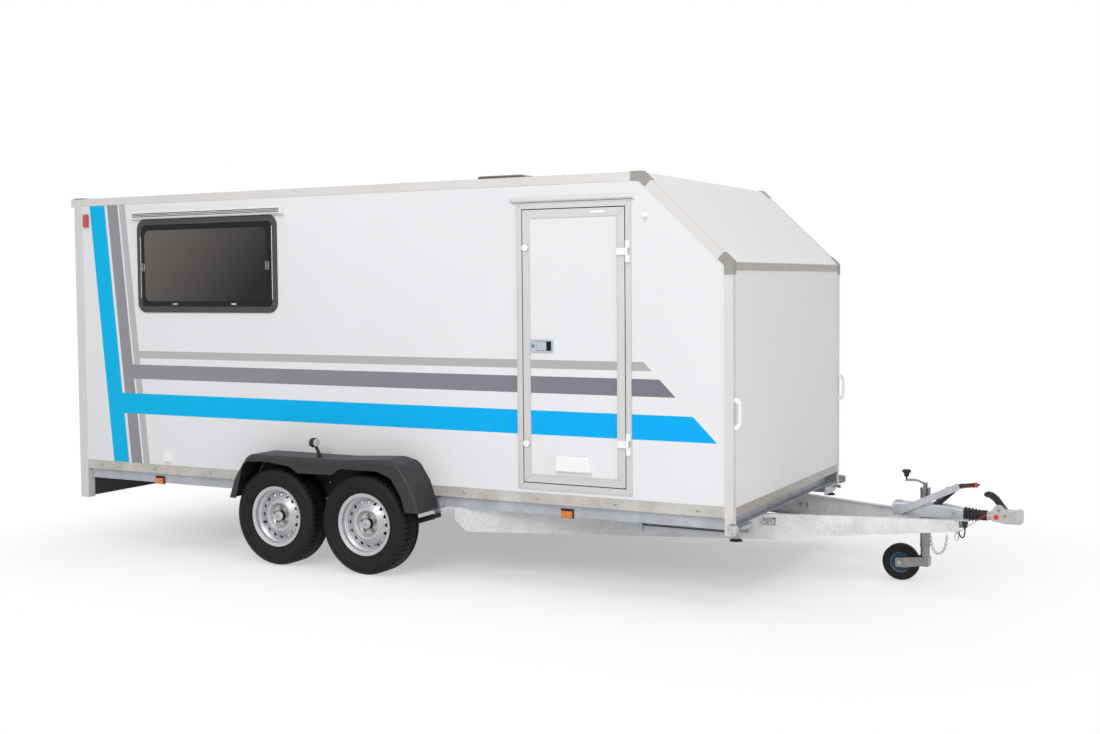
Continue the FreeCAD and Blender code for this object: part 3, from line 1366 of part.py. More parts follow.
def rear():
    """Make the rear portal frame, the lamp board and the ramp with its catches."""
    posts = [block("portal_post_right", ("rear_x", "rear_x + post_width"), ("-side_y", "-portal_y"),
                   ("post_foot", "roof_height")),
             block("portal_post_left", ("rear_x", "rear_x + post_width"), ("portal_y", "side_y"),
                   ("post_foot", "roof_height")),
             block("portal_header", ("rear_x - tail_overhang", "rear_x + post_width"), ("-side_y", "side_y"),
                   ("header_z", "roof_height")),
             block("portal_threshold", ("rear_x", "rear_x + post_width"), ("-portal_y", "portal_y"),
                   ("rail_top - threshold_height", "rail_top"))]
    knuckles, ramp_parts = [], []
    ring = body("ramp_ring")
    outer = sketch(ring, "YZ")
    edge = ("-ramp_y", "ramp_y", "ramp_z", "ramp_top")
    rectangle(outer, *edge)
    rectangle(outer, *inset_limits(edge, "ramp_frame_width"))
    pad(ring, outer, "ramp_thickness")
    ramp_parts.append(place(ring, x="rear_x"))
    hinge_shares = (-0.8, -0.27, 0.27, 0.8)
    for index, share in enumerate(hinge_shares, start=1):
        lug = f"ramp_y * {share} - ramp_knuckle_length"
        eye = f"ramp_y * {share} + knuckle_play"
        knuckles.append(rod(f"ramp_lug_{index}", "y", ("pivot_x", lug, "pivot_z"), "ramp_knuckle_radius",
                            "ramp_knuckle_length"))
        posts.append(block(f"ramp_lug_web_{index}", ("pivot_x", "rear_x"), (lug, f"ramp_y * {share}"),
                           ("pivot_z - ramp_knuckle_radius", "pivot_z")))
        ramp_parts.append(rod(f"ramp_eye_{index}", "y", ("pivot_x", eye, "pivot_z"), "ramp_knuckle_radius",
                              "ramp_knuckle_length"))
        ramp_parts.append(block(f"ramp_strap_{index}", ("pivot_x - ramp_knuckle_radius", "rear_x"),
                                (eye, f"{eye} + ramp_knuckle_length"), ("pivot_z", "pivot_z + 3 * ramp_gap")))
    keep(fused("portal_parts", posts + knuckles), "rear_portal")
    keep(block("lamp_plank", ("rear_x", "rear_x + board_thickness"), ("-portal_y", "portal_y"),
               ("post_foot", "rail_top - threshold_height")), "lamp_board")
    keep(fused("ramp_frame", ramp_parts), "rear_ramp")
    keep(block("ramp_sheet", ("rear_x + ramp_panel_recess", "rear_x + ramp_thickness - ramp_panel_recess"),
               ("ramp_frame_width - ramp_y", "ramp_y - ramp_frame_width"),
               ("ramp_z + ramp_frame_width", "ramp_top - ramp_frame_width")), "ramp_panel")
    catch_z = "roof_height - ramp_latch_drop"
    catch = fused("ramp_catch", [
        block("ramp_catch_plate", ("rear_x - ramp_latch_depth / 4", "rear_x"), ("-ramp_y", "ramp_latch_width - ramp_y"),
              (f"{catch_z} - ramp_latch_height / 2", f"{catch_z} + ramp_latch_height / 2")),
        block("ramp_catch_arm", ("rear_x - ramp_latch_depth", "rear_x"),
              ("ramp_latch_width * 0.15 - ramp_y", "ramp_latch_width * 0.6 - ramp_y"),
              (f"{catch_z} - ramp_latch_height * 0.4", f"{catch_z} + ramp_latch_height * 0.3")),
    ])
    keep(both_sides("ramp_catches", catch), "ramp_fittings")


# Stands

def jockey():
    """Make the jockey leg: clamp, fixed tube with crank, swivelling fork and wheel."""
    axis = ("jockey_x", "jockey_y")
    outer = rod("jockey_outer", "z", (*axis, "jockey_tube_bottom"), "jockey_tube_radius",
                "jockey_tube_top - jockey_tube_bottom")
    bore = rod("jockey_bore", "z", (*axis, "jockey_tube_bottom"), "jockey_inner_radius + jockey_play",
               "jockey_tube_top - jockey_tube_bottom - 3 * fork_gauge")
    neck = rod("jockey_neck", "z", (*axis, "jockey_tube_top"), "jockey_neck_radius", "jockey_neck_height")
    arm = side_plate("crank_arm", [
        ("jockey_x + crank_radius * 1.6", "crank_z - 3 * crank_radius"),
        ("jockey_x + crank_radius * 1.6", "crank_z - crank_radius"),
        ("jockey_x - crank_reach * 0.47", "crank_z + crank_rise"),
        ("jockey_x - crank_reach - crank_radius", "crank_z + crank_rise - crank_radius / 2"),
        ("jockey_x - crank_reach - crank_radius", "crank_z + crank_rise - crank_radius * 2.5"),
        ("jockey_x - crank_reach * 0.45", "crank_z + crank_rise - crank_radius * 2"),
    ], "-jockey_y - crank_radius", "2 * crank_radius", "crank_radius / 2")
    knob = lathe("crank_knob", [
        ("0", "0"), ("crank_radius * 0.8", "0"), ("crank_radius * 0.8", "knob_height * 0.25"),
        ("crank_knob_radius * 0.55", "knob_height * 0.33"), ("crank_knob_radius * 0.6", "knob_height * 0.6"),
        ("crank_knob_radius * 0.95", "knob_height * 0.7"), ("crank_knob_radius", "knob_height * 0.85"),
        ("crank_knob_radius * 0.8", "knob_height * 0.96"), ("0", "knob_height")], "Z")
    place(knob, "jockey_x - crank_reach", "jockey_y", "crank_z + crank_rise - crank_radius")
    keep(fused("jockey_leg", [cut("jockey_sleeve", outer, bore), neck, arm, knob]), "jockey_tube")

    clamp_z = "flange_top + clamp_rise + clamp_gauge"
    solid = fused("clamp_solid", [
        rod("clamp_ring", "z", (*axis, clamp_z), "jockey_tube_radius + clamp_gauge", "clamp_height"),
        block("clamp_block", ("jockey_x - jockey_tube_radius", "jockey_x + jockey_tube_radius"),
              ("housing_half_width", "jockey_y"), (clamp_z, f"{clamp_z} + clamp_height")),
        rod("clamp_bolt", "y", ("jockey_x", "jockey_y", f"{clamp_z} + clamp_height / 2"), "crank_radius",
            "jockey_tube_radius * 2.4"),
        rod("clamp_bar", "x", ("jockey_x - jockey_tube_radius", "jockey_y + jockey_tube_radius * 2.3",
                               f"{clamp_z} + clamp_height / 2"), "crank_radius * 0.8", "2 * jockey_tube_radius"),
    ])
    keep(cut("clamp_parts", solid, rod("clamp_bore", "z", (*axis, f"{clamp_z} - clamp_height"),
                                       "jockey_tube_radius", "3 * clamp_height")), "jockey_clamp")

    gap = "(jockey_wheel_width / 2 + fork_side_gap)"
    cheeks = []
    for name, start in (("right", gap), ("left", f"-{gap} - fork_gauge")):
        cheek = side_plate("fork_cheek_" + name, [
            ("-jockey_inner_radius", "jockey_wheel_radius - jockey_inner_radius"),
            ("jockey_inner_radius", "jockey_wheel_radius - jockey_inner_radius"),
            ("jockey_trail - jockey_inner_radius", "jockey_stem_bottom"),
            ("jockey_trail + jockey_inner_radius", "jockey_stem_bottom"),
            ("jockey_trail + jockey_inner_radius", "jockey_stem_bottom + 2 * jockey_inner_radius"),
            ("jockey_trail - jockey_inner_radius", "jockey_stem_bottom + 2 * jockey_inner_radius"),
            ("-jockey_inner_radius", "jockey_wheel_radius + jockey_inner_radius"),
        ], start, "fork_gauge", "jockey_inner_radius / 3")
        cheeks.append(place(cheek, "jockey_wheel_x", "jockey_y", "0"))
    keep(fused("fork_parts", cheeks + [
        block("fork_bridge", ("jockey_x - jockey_inner_radius + fork_side_gap", "jockey_x + jockey_inner_radius"),
              (f"jockey_y - {gap}", f"jockey_y + {gap}"),
              ("jockey_stem_bottom", "jockey_stem_bottom + 2 * jockey_inner_radius")),
        rod("fork_stem", "z", (*axis, "jockey_stem_bottom"), "jockey_inner_radius",
            "jockey_tube_top - jockey_stem_bottom - 8 * fork_gauge"),
        rod("fork_pin", "y", ("jockey_wheel_x", f"jockey_y - {gap} - 2 * fork_gauge", "jockey_wheel_radius"),
            "jockey_pin_radius", f"2 * ({gap} + 2 * fork_gauge)"),
    ]), "jockey_fork")

    half = [("jockey_pin_radius + jockey_play", 0.5), ("jockey_rim_radius * 0.35", 0.5),
            ("jockey_rim_radius * 0.45", 0.28), ("jockey_rim_radius * 0.9", 0.28), ("jockey_rim_radius", 0.42),
            ("jockey_wheel_radius * 0.7", 0.47), ("jockey_wheel_radius * 0.9", 0.44), ("jockey_wheel_radius", 0.26)]
    points = [(radius, f"jockey_wheel_width * {share}") for radius, share in half]
    points += [(radius, f"-jockey_wheel_width * {share}") for radius, share in reversed(half)]
    roller = lathe("jockey_roller_wheel", points, "Y")
    keep(place(roller, "jockey_wheel_x", "jockey_y", "jockey_wheel_radius"), "jockey_wheel")


def steadies():
    """Make the two corner steadies, stowed under the frame's front, with their screws and brackets."""
    half = "steady_width / 2"
    outer = f"({half} + steady_side_gap + steady_gauge)"
    inner = f"({half} + steady_side_gap)"
    tall = "steady_leg_height / 2"
    brackets = []
    for side in ("right", "left"):
        middle = "-steady_y" if side == "right" else "steady_y"
        arm = block(f"steady_arm_{side}", (f"steady_x - {half}", f"steady_foot_x + {tall}"),
                    (f"{middle} - {half}", f"{middle} + {half}"), (f"steady_z - {tall}", f"steady_z + {tall}"))
        foot = lathe(f"steady_foot_{side}", [
            ("0", "0"), ("steady_foot_radius", "0"), ("steady_foot_radius * 0.95", "steady_foot_height * 0.4"),
            ("steady_foot_radius * 0.6", "steady_foot_height * 0.8"), ("steady_foot_radius * 0.55", "steady_foot_height"),
            ("0", "steady_foot_height")], "Z")
        place(foot, "steady_foot_x", middle, f"steady_z - {tall} - steady_foot_height")
        hole = rod(f"steady_hole_{side}", "y", ("steady_x", f"{middle} - steady_width", "steady_z"),
                   "steady_pin_radius + steady_play", "2 * steady_width")
        keep(cut(f"steady_parts_{side}", fused(f"steady_solid_{side}", [arm, foot]), hole), f"steady_{side}")
        ears = [block(f"steady_ear_{side}_{name}", ("steady_x - steady_width", "steady_x + steady_width"),
                      (f"{middle} + {low}", f"{middle} + {high}"),
                      (f"steady_z - {half}", "rail_bottom - steady_gauge"))
                for name, low, high in (("out", inner, outer), ("in", f"-{outer}", f"-{inner}"))]
        reach = (f"{middle} - {outer}", "rail_y") if side == "left" else ("-rail_y", f"{middle} + {outer}")
        plate = block(f"steady_plate_{side}", ("steady_x - steady_width", "steady_x + steady_width"), reach,
                      ("rail_bottom - steady_gauge", "rail_bottom"))
        pin = rod(f"steady_pin_{side}", "y", ("steady_x", f"{middle} - {outer}", "steady_z"),
                  "steady_pin_radius", f"2 * {outer}")
        block_end = block(f"steady_nut_{side}", ("steady_x", "steady_x + steady_width"),
                          (f"{middle} - {outer}", f"{middle} + {outer}"),
                          ("steady_screw_z - steady_screw_radius", "rail_bottom - steady_gauge"))
        screw = rod(f"steady_screw_{side}", "x", ("steady_x", middle, "steady_screw_z"), "steady_screw_radius",
                    "front_x + steady_screw_reach - steady_x")
        drive = doc.addObject("Part::Prism", f"steady_drive_{side}")
        drive.Polygon = 6
        drive.Placement = Placement(Vector(), TURNS["x"])
        bind(drive, Circumradius="steady_hex_radius", Height="steady_hex_radius")
        place(drive, "front_x + steady_screw_reach - steady_hex_radius", middle, "steady_screw_z")
        shelf = (f"{middle} - steady_width", f"{middle} + steady_width * 5") if side == "right" else (
            f"{middle} - steady_width * 5", f"{middle} + steady_width")
        nose = [block(f"steady_shelf_{side}", ("front_x - rail_end_inset - cross_width", "front_x"), shelf,
                      ("rail_bottom - steady_gauge", "rail_bottom")),
                block(f"steady_face_{side}", ("front_x - steady_gauge", "front_x"), shelf,
                      ("steady_z - steady_side_gap", "rail_bottom"))]
        brackets.append(fused(f"steady_bracket_{side}", ears + [plate, pin, block_end, screw, drive] + nose))
    keep(group("steady_bracket_pair", brackets), "steady_brackets")


# Fittings

def grab_handle():
    """Make the moulded grab handle of each front corner."""
    low = "rail_bottom + grab_from"
    high = f"{low} + grab_length"
    outer = [(0, low, 0), (0.5, low, 0), (1, low, 0.7), (1, high, -0.7), (0.5, high, 0), (0, high, 0)]
    points = [(f"front_x + grab_reach * {out}", f"{end} + grab_reach * {along}") for out, end, along in outer]
    points += [("front_x", f"{high} - 2 * grab_gauge"),
               ("front_x + grab_reach * 0.35", f"{high} - 2 * grab_gauge"),
               ("front_x + grab_reach - grab_gauge", f"{high} - grab_reach * 0.7 - grab_gauge"),
               ("front_x + grab_reach - grab_gauge", f"{low} + grab_reach * 0.7 + grab_gauge"),
               ("front_x + grab_reach * 0.35", f"{low} + 2 * grab_gauge"),
               ("front_x", f"{low} + 2 * grab_gauge")]
    handle = body("grab_handle")
    profile = sketch(handle, "XZ", "side_y - grab_inset - grab_width")
    outline(profile, points)
    solid = pad(handle, profile, "grab_width")
    clear = number("front_x + grab_gauge / 2")
    fillet(handle, solid, "grab_round", lambda edge: runs_across(edge) and edge.CenterOfMass.x > clear)
    keep(both_sides("grab_handle_pair", handle), "grab_handles")


def roof_dome():
    """Make the roof vent: a flanged base with a rounded lid."""
    base = block("vent_base", ("-roof_vent_size / 2", "roof_vent_size / 2"),
                 ("-roof_vent_size / 2", "roof_vent_size / 2"), ("0", "roof_vent_lip"))
    lid = body("vent_lid")
    profile = sketch(lid, "XY", "roof_vent_lip / 2")
    rectangle(profile, *(["roof_vent_lip - roof_vent_size / 2", "roof_vent_size / 2 - roof_vent_lip"] * 2))
    solid = pad(lid, profile, "roof_vent_rise - roof_vent_lip / 2")
    foot = number("roof_vent_lip")
    fillet(lid, solid, "roof_vent_lip", lambda edge: edge.CenterOfMass.z > foot)
    vent = fused("vent_parts", [base, lid])
    keep(place(vent, "front_x - roof_vent_setback", "0", "skin_top"), "roof_vent")


def lamps():
    """Make the side markers, corner markers, front lamps, guard lamps and tail lamps."""
    one_side = []
    marker_shares = (0.149, 0.7915)
    for index, share in enumerate(marker_shares, start=1):
        middle = f"rear_x + body_length * {share}"
        lens_z = "rail_bottom + marker_height * 0.36"
        one_side.append(fused(f"side_marker_{index}", [
            side_panel(f"marker_plate_{index}", (f"{middle} - marker_length * 0.6", f"{middle} + marker_length * 0.6",
                                                 f"{lens_z} - marker_height * 0.6", f"{lens_z} + marker_height * 0.8"),
                       "rail_y", "marker_bracket_gauge"),
            side_panel(f"marker_lens_{index}", (f"{middle} - marker_length / 2", f"{middle} + marker_length / 2",
                                                f"{lens_z} - marker_height / 2", f"{lens_z} + marker_height / 2"),
                       "rail_y", "marker_bracket_gauge + marker_depth", "marker_depth / 3", "marker_depth / 3")]))
    corner = ("rear_x + post_width + corner_lamp_width * 0.4", "rear_x + post_width + corner_lamp_width * 1.4",
              "roof_height - corner_lamp_drop - corner_lamp_height", "roof_height - corner_lamp_drop")
    one_side.append(side_panel("corner_marker", corner, "skin_y", "marker_depth", "marker_depth / 2",
                               "marker_depth / 3"))
    foot = "rail_bottom - front_lamp_height * 0.3"
    lens = ("front_x - front_lamp_depth * 0.4", "front_x + front_lamp_depth",
            f"{foot} + front_lamp_height * 0.1", f"{foot} + front_lamp_height")
    one_side.append(fused("front_lamp", [
        side_panel("front_lamp_base", ("front_x - front_lamp_depth * 0.4", "front_x + front_lamp_depth * 0.4",
                                       foot, f"{foot} + front_lamp_height * 1.1"),
                   "side_y", "front_lamp_depth / 2"),
        side_panel("front_lamp_lens", lens, "side_y + front_lamp_depth / 2", "front_lamp_depth",
                   "front_lamp_depth / 4", "front_lamp_depth / 5")]))
    arm_x = "guard_mid_x - guard_lamp_radius * 1.2"
    lamp_y = "wheel_y + guard_lamp_radius"
    arm = side_plate("guard_lamp_arm", [
        (f"{arm_x} - guard_lamp_radius * 0.8", "guard_top"), (f"{arm_x} + guard_lamp_radius * 0.8", "guard_top"),
        (f"{arm_x} + guard_lamp_radius * 0.4", "guard_top + guard_lamp_radius / 2"),
        (f"{arm_x} - guard_lamp_lean + guard_lamp_radius * 0.3", "guard_top + guard_lamp_height"),
        (f"{arm_x} - guard_lamp_lean - guard_lamp_radius * 0.3", "guard_top + guard_lamp_height"),
        (f"{arm_x} - guard_lamp_radius * 0.5", "guard_top + guard_lamp_radius / 2"),
    ], f"{lamp_y} - guard_lamp_radius / 3", "guard_lamp_radius * 0.67")
    bulb = lathe("guard_lamp_bulb", [(f"guard_lamp_radius * {radius}", f"guard_lamp_length * {along}")
                                     for radius, along in BULB_SHARES], "X")
    place(bulb, f"{arm_x} - guard_lamp_lean", f"-({lamp_y})", "guard_top + guard_lamp_height")
    one_side.append(fused("guard_lamp", [arm, bulb]))
    board_z = "(post_foot + rail_top - threshold_height) / 2"
    tail = block("tail_lamp", ("rear_x - tail_lamp_depth", "rear_x"),
                 ("tail_lamp_depth - portal_y", "tail_lamp_depth + tail_lamp_length - portal_y"),
                 (f"{board_z} - tail_lamp_height / 2", f"{board_z} + tail_lamp_height / 2"))
    one_side.append(tail)
    keep(group("lamp_set", one_side + [mirrored(item.Name + "_left", item) for item in one_side]), "lamps")


BULB_SHARES = [(0.0, -0.5), (0.6, -0.47), (0.93, -0.3), (1.0, -0.06), (1.05, 0.0), (1.0, 0.06), (0.93, 0.3),
               (0.6, 0.47), (0.0, 0.5)]

# The hanging chain: each link's slope in degrees from one end to the other
CHAIN_SLOPES = [88, 86, 82, 78, 74, 68, 58, 34, 0, -34, -58, -68, -74, -78, -82, -86, -88]
LINK_SHARES = [(-1.0, -0.4), (-0.6, -1.0), (0.6, -1.0), (1.0, -0.4), (1.0, 0.4), (0.6, 1.0), (-0.6, 1.0), (-1.0, 0.4)]


def link_ring(name, plane, length, width, wire):
    """Make one chain link as an eight-sided ring."""
    ring = body(name)
    profile = sketch(ring, plane, f"-({wire}) / 2")
    for shrink in ("0", wire):
        outline(profile, [(f"(({length}) / 2 - {shrink}) * {along}", f"(({width}) / 2 - {shrink}) * {across}")
                          for along, across in LINK_SHARES])
    pad(ring, profile, wire)
    return ring


def chain_run():
    """Return each link's place as shares of the pitch from the first hanging point."""
    along, down, spots = 0.0, 0.0, []
    for slope in CHAIN_SLOPES:
        step = math.cos(math.radians(slope)) / 2, math.sin(math.radians(slope)) / 2
        spots.append((along + step[0], down + step[1], slope))
        along, down = along + 2 * step[0], down + 2 * step[1]
    return spots, along


def beam_frame(item, x="0", z="0"):
    """Place an object on the right drawbar beam, at a distance along it from its tip."""
    item.Placement = Placement(Vector(), Rotation(Vector(0, 0, 1), 1))
    bind(item, Placement__Rotation__Angle="atan(plan_slope)")
    return place(item, f"beam_tip_x + ({x})", "-beam_tip_y", z)


def beam_foot(along):
    """Return the height of the beam's underside at a distance behind its tip."""
    return f"beam_tip_foot - (beam_tip_foot - beam_waist_foot) * 2 * ({along}) / beam_front_run"


def chain_eye(name, along, low):
    """Make the lug under the beam that carries an end of the chain or the hook."""
    half = "link_wire"
    return block(name, (f"-({along}) - {half}", f"{half} - ({along})"), (f"chain_y - {half}", f"chain_y + {half}"),
                 (low, beam_foot(f"({along}) + {half}")))


def safety_chain():
    """Make the chain that hangs in a loop under the right beam, and the snap hook at its tip."""
    flat = link_ring("chain_flat_link", "XZ", "link_length", "link_width", "link_wire")
    upright = link_ring("chain_upright_link", "XY", "link_length", "link_width", "link_wire")
    spots, span = chain_run()
    start_z = f"({beam_foot('chain_from')} - chain_eye_drop)"
    links = []
    for index, (along, down, slope) in enumerate(spots):
        item = group(f"chain_link_{index + 1}", [flat if index % 2 else upright])
        item.Placement = Placement(Vector(), Rotation(Vector(0, 1, 0), slope))
        links.append(place(item, f"link_pitch * {along:.4f} - chain_from", "chain_y",
                           f"{start_z} - link_pitch * {down:.4f}"))
    eyes = [chain_eye("chain_rear_eye", "chain_from", start_z),
            chain_eye("chain_front_eye", f"chain_from - link_pitch * {span:.4f}", start_z)]
    links = [fused("chain_first", [eyes[0], links[0]])] + links[1:-1] + [fused("chain_last", [links[-1], eyes[1]])]
    ring = link_ring("snap_ring", "XZ", "hook_length", "hook_width", "link_wire")
    ring.Placement = Placement(Vector(), Rotation(Vector(0, 1, 0), 90))
    place(ring, "-hook_setback", "hook_in", "beam_tip_foot - hook_drop + 2 * link_wire - hook_length / 2")
    lug = block("snap_lug", ("-hook_setback - link_wire", "link_wire - hook_setback"),
                ("hook_in - link_wire", "hook_in + link_wire"),
                ("beam_tip_foot - hook_drop + link_wire", beam_foot("hook_setback + link_wire")))
    keep(beam_frame(group("chain_set", links + [fused("snap_hook", [ring, lug])])), "safety_chain")


def arc_joined(corners):
    """Return the edges of a path through corners with the largest tangent arcs, and print each radius."""
    radii, edges, start = [], [], corners[0]
    for before, corner, after in zip(corners, corners[1:], corners[2:]):
        back, ahead = before - corner, after - corner
        setback = 0.45 * min(back.Length, ahead.Length)
        half_turn = (math.pi - back.getAngle(ahead)) / 2
        radii.append(setback / math.tan(half_turn))
        back.normalize()
        ahead.normalize()
        inward = back + ahead
        inward.normalize()
        first, last = corner + back * setback, corner + ahead * setback
        middle = corner + inward * (radii[-1] / math.cos(half_turn) - radii[-1])
        edges.append(Part.LineSegment(start, first).toShape())
        edges.append(Part.Arc(first, middle, last).toShape())
        start = last
    edges.append(Part.LineSegment(start, corners[-1]).toShape())
    if radii:
        print("arc radii", [round(radius, 1) for radius in radii])
    return edges


def tube(name, points, radius):
    """Sweep a bound circle along straight runs and tangent arcs."""
    corners = [Vector(number(x), number(y), number(z)) for x, y, z in points]
    path = doc.addObject("Part::Feature", name + "_path")
    path.Shape = Part.Wire(arc_joined(corners))
    ring = doc.addObject("Part::Circle", name + "_ring")
    ring.Placement = Placement(corners[0], Rotation(Vector(0, 0, 1), corners[1] - corners[0]))
    bind(ring, Radius=radius)
    sweep = doc.addObject("Part::Sweep", name)
    sweep.Sections = [ring]
    sweep.Spine = (path, [f"Edge{index + 1}" for index in range(len(path.Shape.Edges))])
    sweep.Solid = True
    doc.recompute()
    section = math.pi * number(radius) ** 2
    print(f"{name}: {sweep.Shape.Volume:.1f} of {section * path.Shape.Length:.1f}")
    return sweep


# The hanging cable from its gland to its plug: shares of the way across, and millimetres below the gland's end
CABLE_ROUTE = [(0, 0), (0, 25), (0.13, 48), (0.355, 61), (0.645, 61), (0.87, 48), (1, 25), (1, 0)]


def cables():
    """Make the trailer cable with its gland and parked plug, and the taut breakaway cable."""
    nut = "gland_length * 0.23"
    gland = lathe("cable_gland", [
        ("0", "0"), ("gland_radius", "0"), ("gland_radius", f"-{nut}"), ("gland_radius * 0.8", f"-{nut}"),
        ("gland_radius * 0.55", "-gland_length"), ("0", "-gland_length")], "Z")
    place(gland, "gland_x", "0", "housing_foot")
    plug = lathe("plug_shell", [
        ("0", "0"), ("plug_radius", "0"), ("plug_radius", "-plug_length * 0.45"),
        ("plug_radius * 0.8", "-plug_length * 0.55"), ("plug_radius * 0.75", "-plug_length * 0.8"),
        ("cable_radius * 1.5", "-plug_length"), ("0", "-plug_length")], "Z")
    place(plug, "plug_x", "-beam_tip_y", "housing_foot")
    keep(group("cable_end_pair", [gland, plug]), "cable_ends")
    keep(tube("trailer_cable_tube", [(f"gland_x + (plug_x - gland_x) * {share}", f"-beam_tip_y * {share}",
                                      f"housing_foot - gland_length - {drop}") for share, drop in CABLE_ROUTE],
              "cable_radius"), "trailer_cable")
    keep(tube("breakaway_tube", [("eyelet_x", "-wire_y", "eyelet_z"), ("hook_x", "-hook_y", "hook_z")],
              "wire_radius"), "breakaway_cable")


def check():
    """Stop with a plain message when an object failed."""
    doc.recompute()
    for item in doc.Objects:
        if "Invalid" in item.State or "Error" in item.State:
            raise RuntimeError(f"{item.Name} is {item.State}")
    for item in nodes:
        if item.Shape.isNull() or not item.Shape.isValid():
            raise RuntimeError(f"{item.Label} has no valid shape")


def export():
    """Write each node to its own file."""
    os.makedirs("parts", exist_ok=True)
    for item in nodes:
        item.Shape.exportStep(f"parts/{item.Label}.step")
        box = item.Shape.BoundBox
        print(f"{item.Label}: {len(item.Shape.Solids)} solids, x {box.XMin:.1f}..{box.XMax:.1f}, "
              f"y {box.YMin:.1f}..{box.YMax:.1f}, z {box.ZMin:.1f}..{box.ZMax:.1f}, {item.Shape.Volume:.0f}")


fill_sheet()
panels()
edge_trim()
chassis()
drawbar()
overrun()
bellows()
coupling()
handbrake()
for axle_name, axle_place in (("front", "front_wheel_x"), ("rear", "rear_wheel_x")):
    axle("axle_" + axle_name, axle_place)
    for wheel_side in ("right", "left"):
        wheel(f"{axle_name}_{wheel_side}", axle_place, wheel_side)
dampers()
mudguard()
windows()
door()
door_hardware()
wall_hardware()
rear()
jockey()
steadies()
grab_handle()
roof_dome()
lamps()
safety_chain()
cables()
check()
export()
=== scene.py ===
"""Dress a tandem-axle box caravan: finishes, fine fittings, camera, light and floor."""
from __future__ import annotations

import logging
import math
from dataclasses import dataclass
from enum import Enum
from typing import Callable, ClassVar, Iterable, Sequence

import bmesh
import bpy
from mathutils import Matrix, Vector

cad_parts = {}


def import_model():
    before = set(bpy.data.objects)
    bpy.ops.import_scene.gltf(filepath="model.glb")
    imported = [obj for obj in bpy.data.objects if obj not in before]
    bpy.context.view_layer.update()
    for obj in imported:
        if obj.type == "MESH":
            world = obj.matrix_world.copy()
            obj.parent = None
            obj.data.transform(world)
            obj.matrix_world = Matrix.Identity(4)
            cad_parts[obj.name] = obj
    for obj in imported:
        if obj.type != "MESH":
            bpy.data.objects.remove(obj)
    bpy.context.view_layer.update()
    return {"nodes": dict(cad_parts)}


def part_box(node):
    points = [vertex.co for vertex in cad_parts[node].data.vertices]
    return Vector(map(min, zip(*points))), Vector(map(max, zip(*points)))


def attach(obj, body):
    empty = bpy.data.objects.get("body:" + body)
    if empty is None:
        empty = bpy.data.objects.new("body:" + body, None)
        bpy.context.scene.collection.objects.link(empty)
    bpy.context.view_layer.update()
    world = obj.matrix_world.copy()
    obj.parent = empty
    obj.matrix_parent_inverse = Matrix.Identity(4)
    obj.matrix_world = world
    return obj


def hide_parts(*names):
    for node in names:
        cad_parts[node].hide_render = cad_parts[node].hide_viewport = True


LOG = logging.getLogger("caravan")

Point = tuple[float, float, float]
Flat = tuple[float, float]
Colour = tuple[float, float, float]
Socket = bpy.types.NodeSocket
Thing = bpy.types.Object


class Side(Enum):
    """The two sides of the caravan, with the sign of Y on each."""

    RIGHT = -1
    LEFT = 1

    @property
    def word(self) -> str:
        """Return the side's name as the nodes use it."""
        return self.name.lower()


class Body(str, Enum):
    """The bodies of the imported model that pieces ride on."""

    ROOT = "root"
    DOOR = "side_door"
    RAMP = "ramp"
    SWIVEL = "jockey_swivel"
    ROLLER = "jockey_roller"


@dataclass(frozen=True)
class Frame:
    """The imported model's main places, in metres."""

    middle: float = 3.1675
    half_width: float = 1.04
    roof: float = 2.43
    front: float = 1.8325
    rear: float = -3.1675
    wheel_y: float = 1.165
    wheel_z: float = 0.315
    front_wheel: float = -0.5155
    rear_wheel: float = -1.2055

    def along(self, distance: float) -> float:
        """Return the x in metres of a distance in millimetres forward from the body's rear face."""
        return distance / 1000 - self.middle


FRAME = Frame()
GUARD_LAMP_X, GUARD_LAMP_Z = FRAME.along(2236.6), 0.8015
JOCKEY_PIN: Flat = (FRAME.along(5654), 0.11)

# A drawbar beam's middle line in plan: its front end from the body's rear and from the middle, and its lean
BEAM_TIP: Flat = (6.025, 0.082)
BEAM_SLOPE = 0.33
BEAM_TURN = 18.263


def linear(colour: Colour) -> tuple[float, float, float, float]:
    """Turn a colour as it looks on a screen into the linear values that shaders take.

    Args:
        colour: Red, green and blue from 0 to 1 as they look.

    Returns:
        Linear red, green and blue, and 1.
    """
    values = [value / 12.92 if value <= 0.04045 else ((value + 0.055) / 1.055) ** 2.4 for value in colour]
    return (*values, 1.0)


def stand(name: str, data: bpy.types.ID | None) -> Thing:
    """Make an object of some data and link it to the scene."""
    thing = bpy.data.objects.new(name, data)
    bpy.context.scene.collection.objects.link(thing)
    return thing


def path_curve(name: str, kind: str, places: Sequence[Point]) -> bpy.types.Curve:
    """Make a curve with one spline.

    Args:
        name: The curve's name.
        kind: The spline's type, POLY or NURBS.
        places: Its points in order.

    Returns:
        The curve.
    """
    curve = bpy.data.curves.new(name, "CURVE")
    curve.dimensions = "3D"
    spline = curve.splines.new(kind)
    spline.points.add(len(places) - 1)
    for point, place in zip(spline.points, places):
        point.co = (*place, 1.0)
    return curve


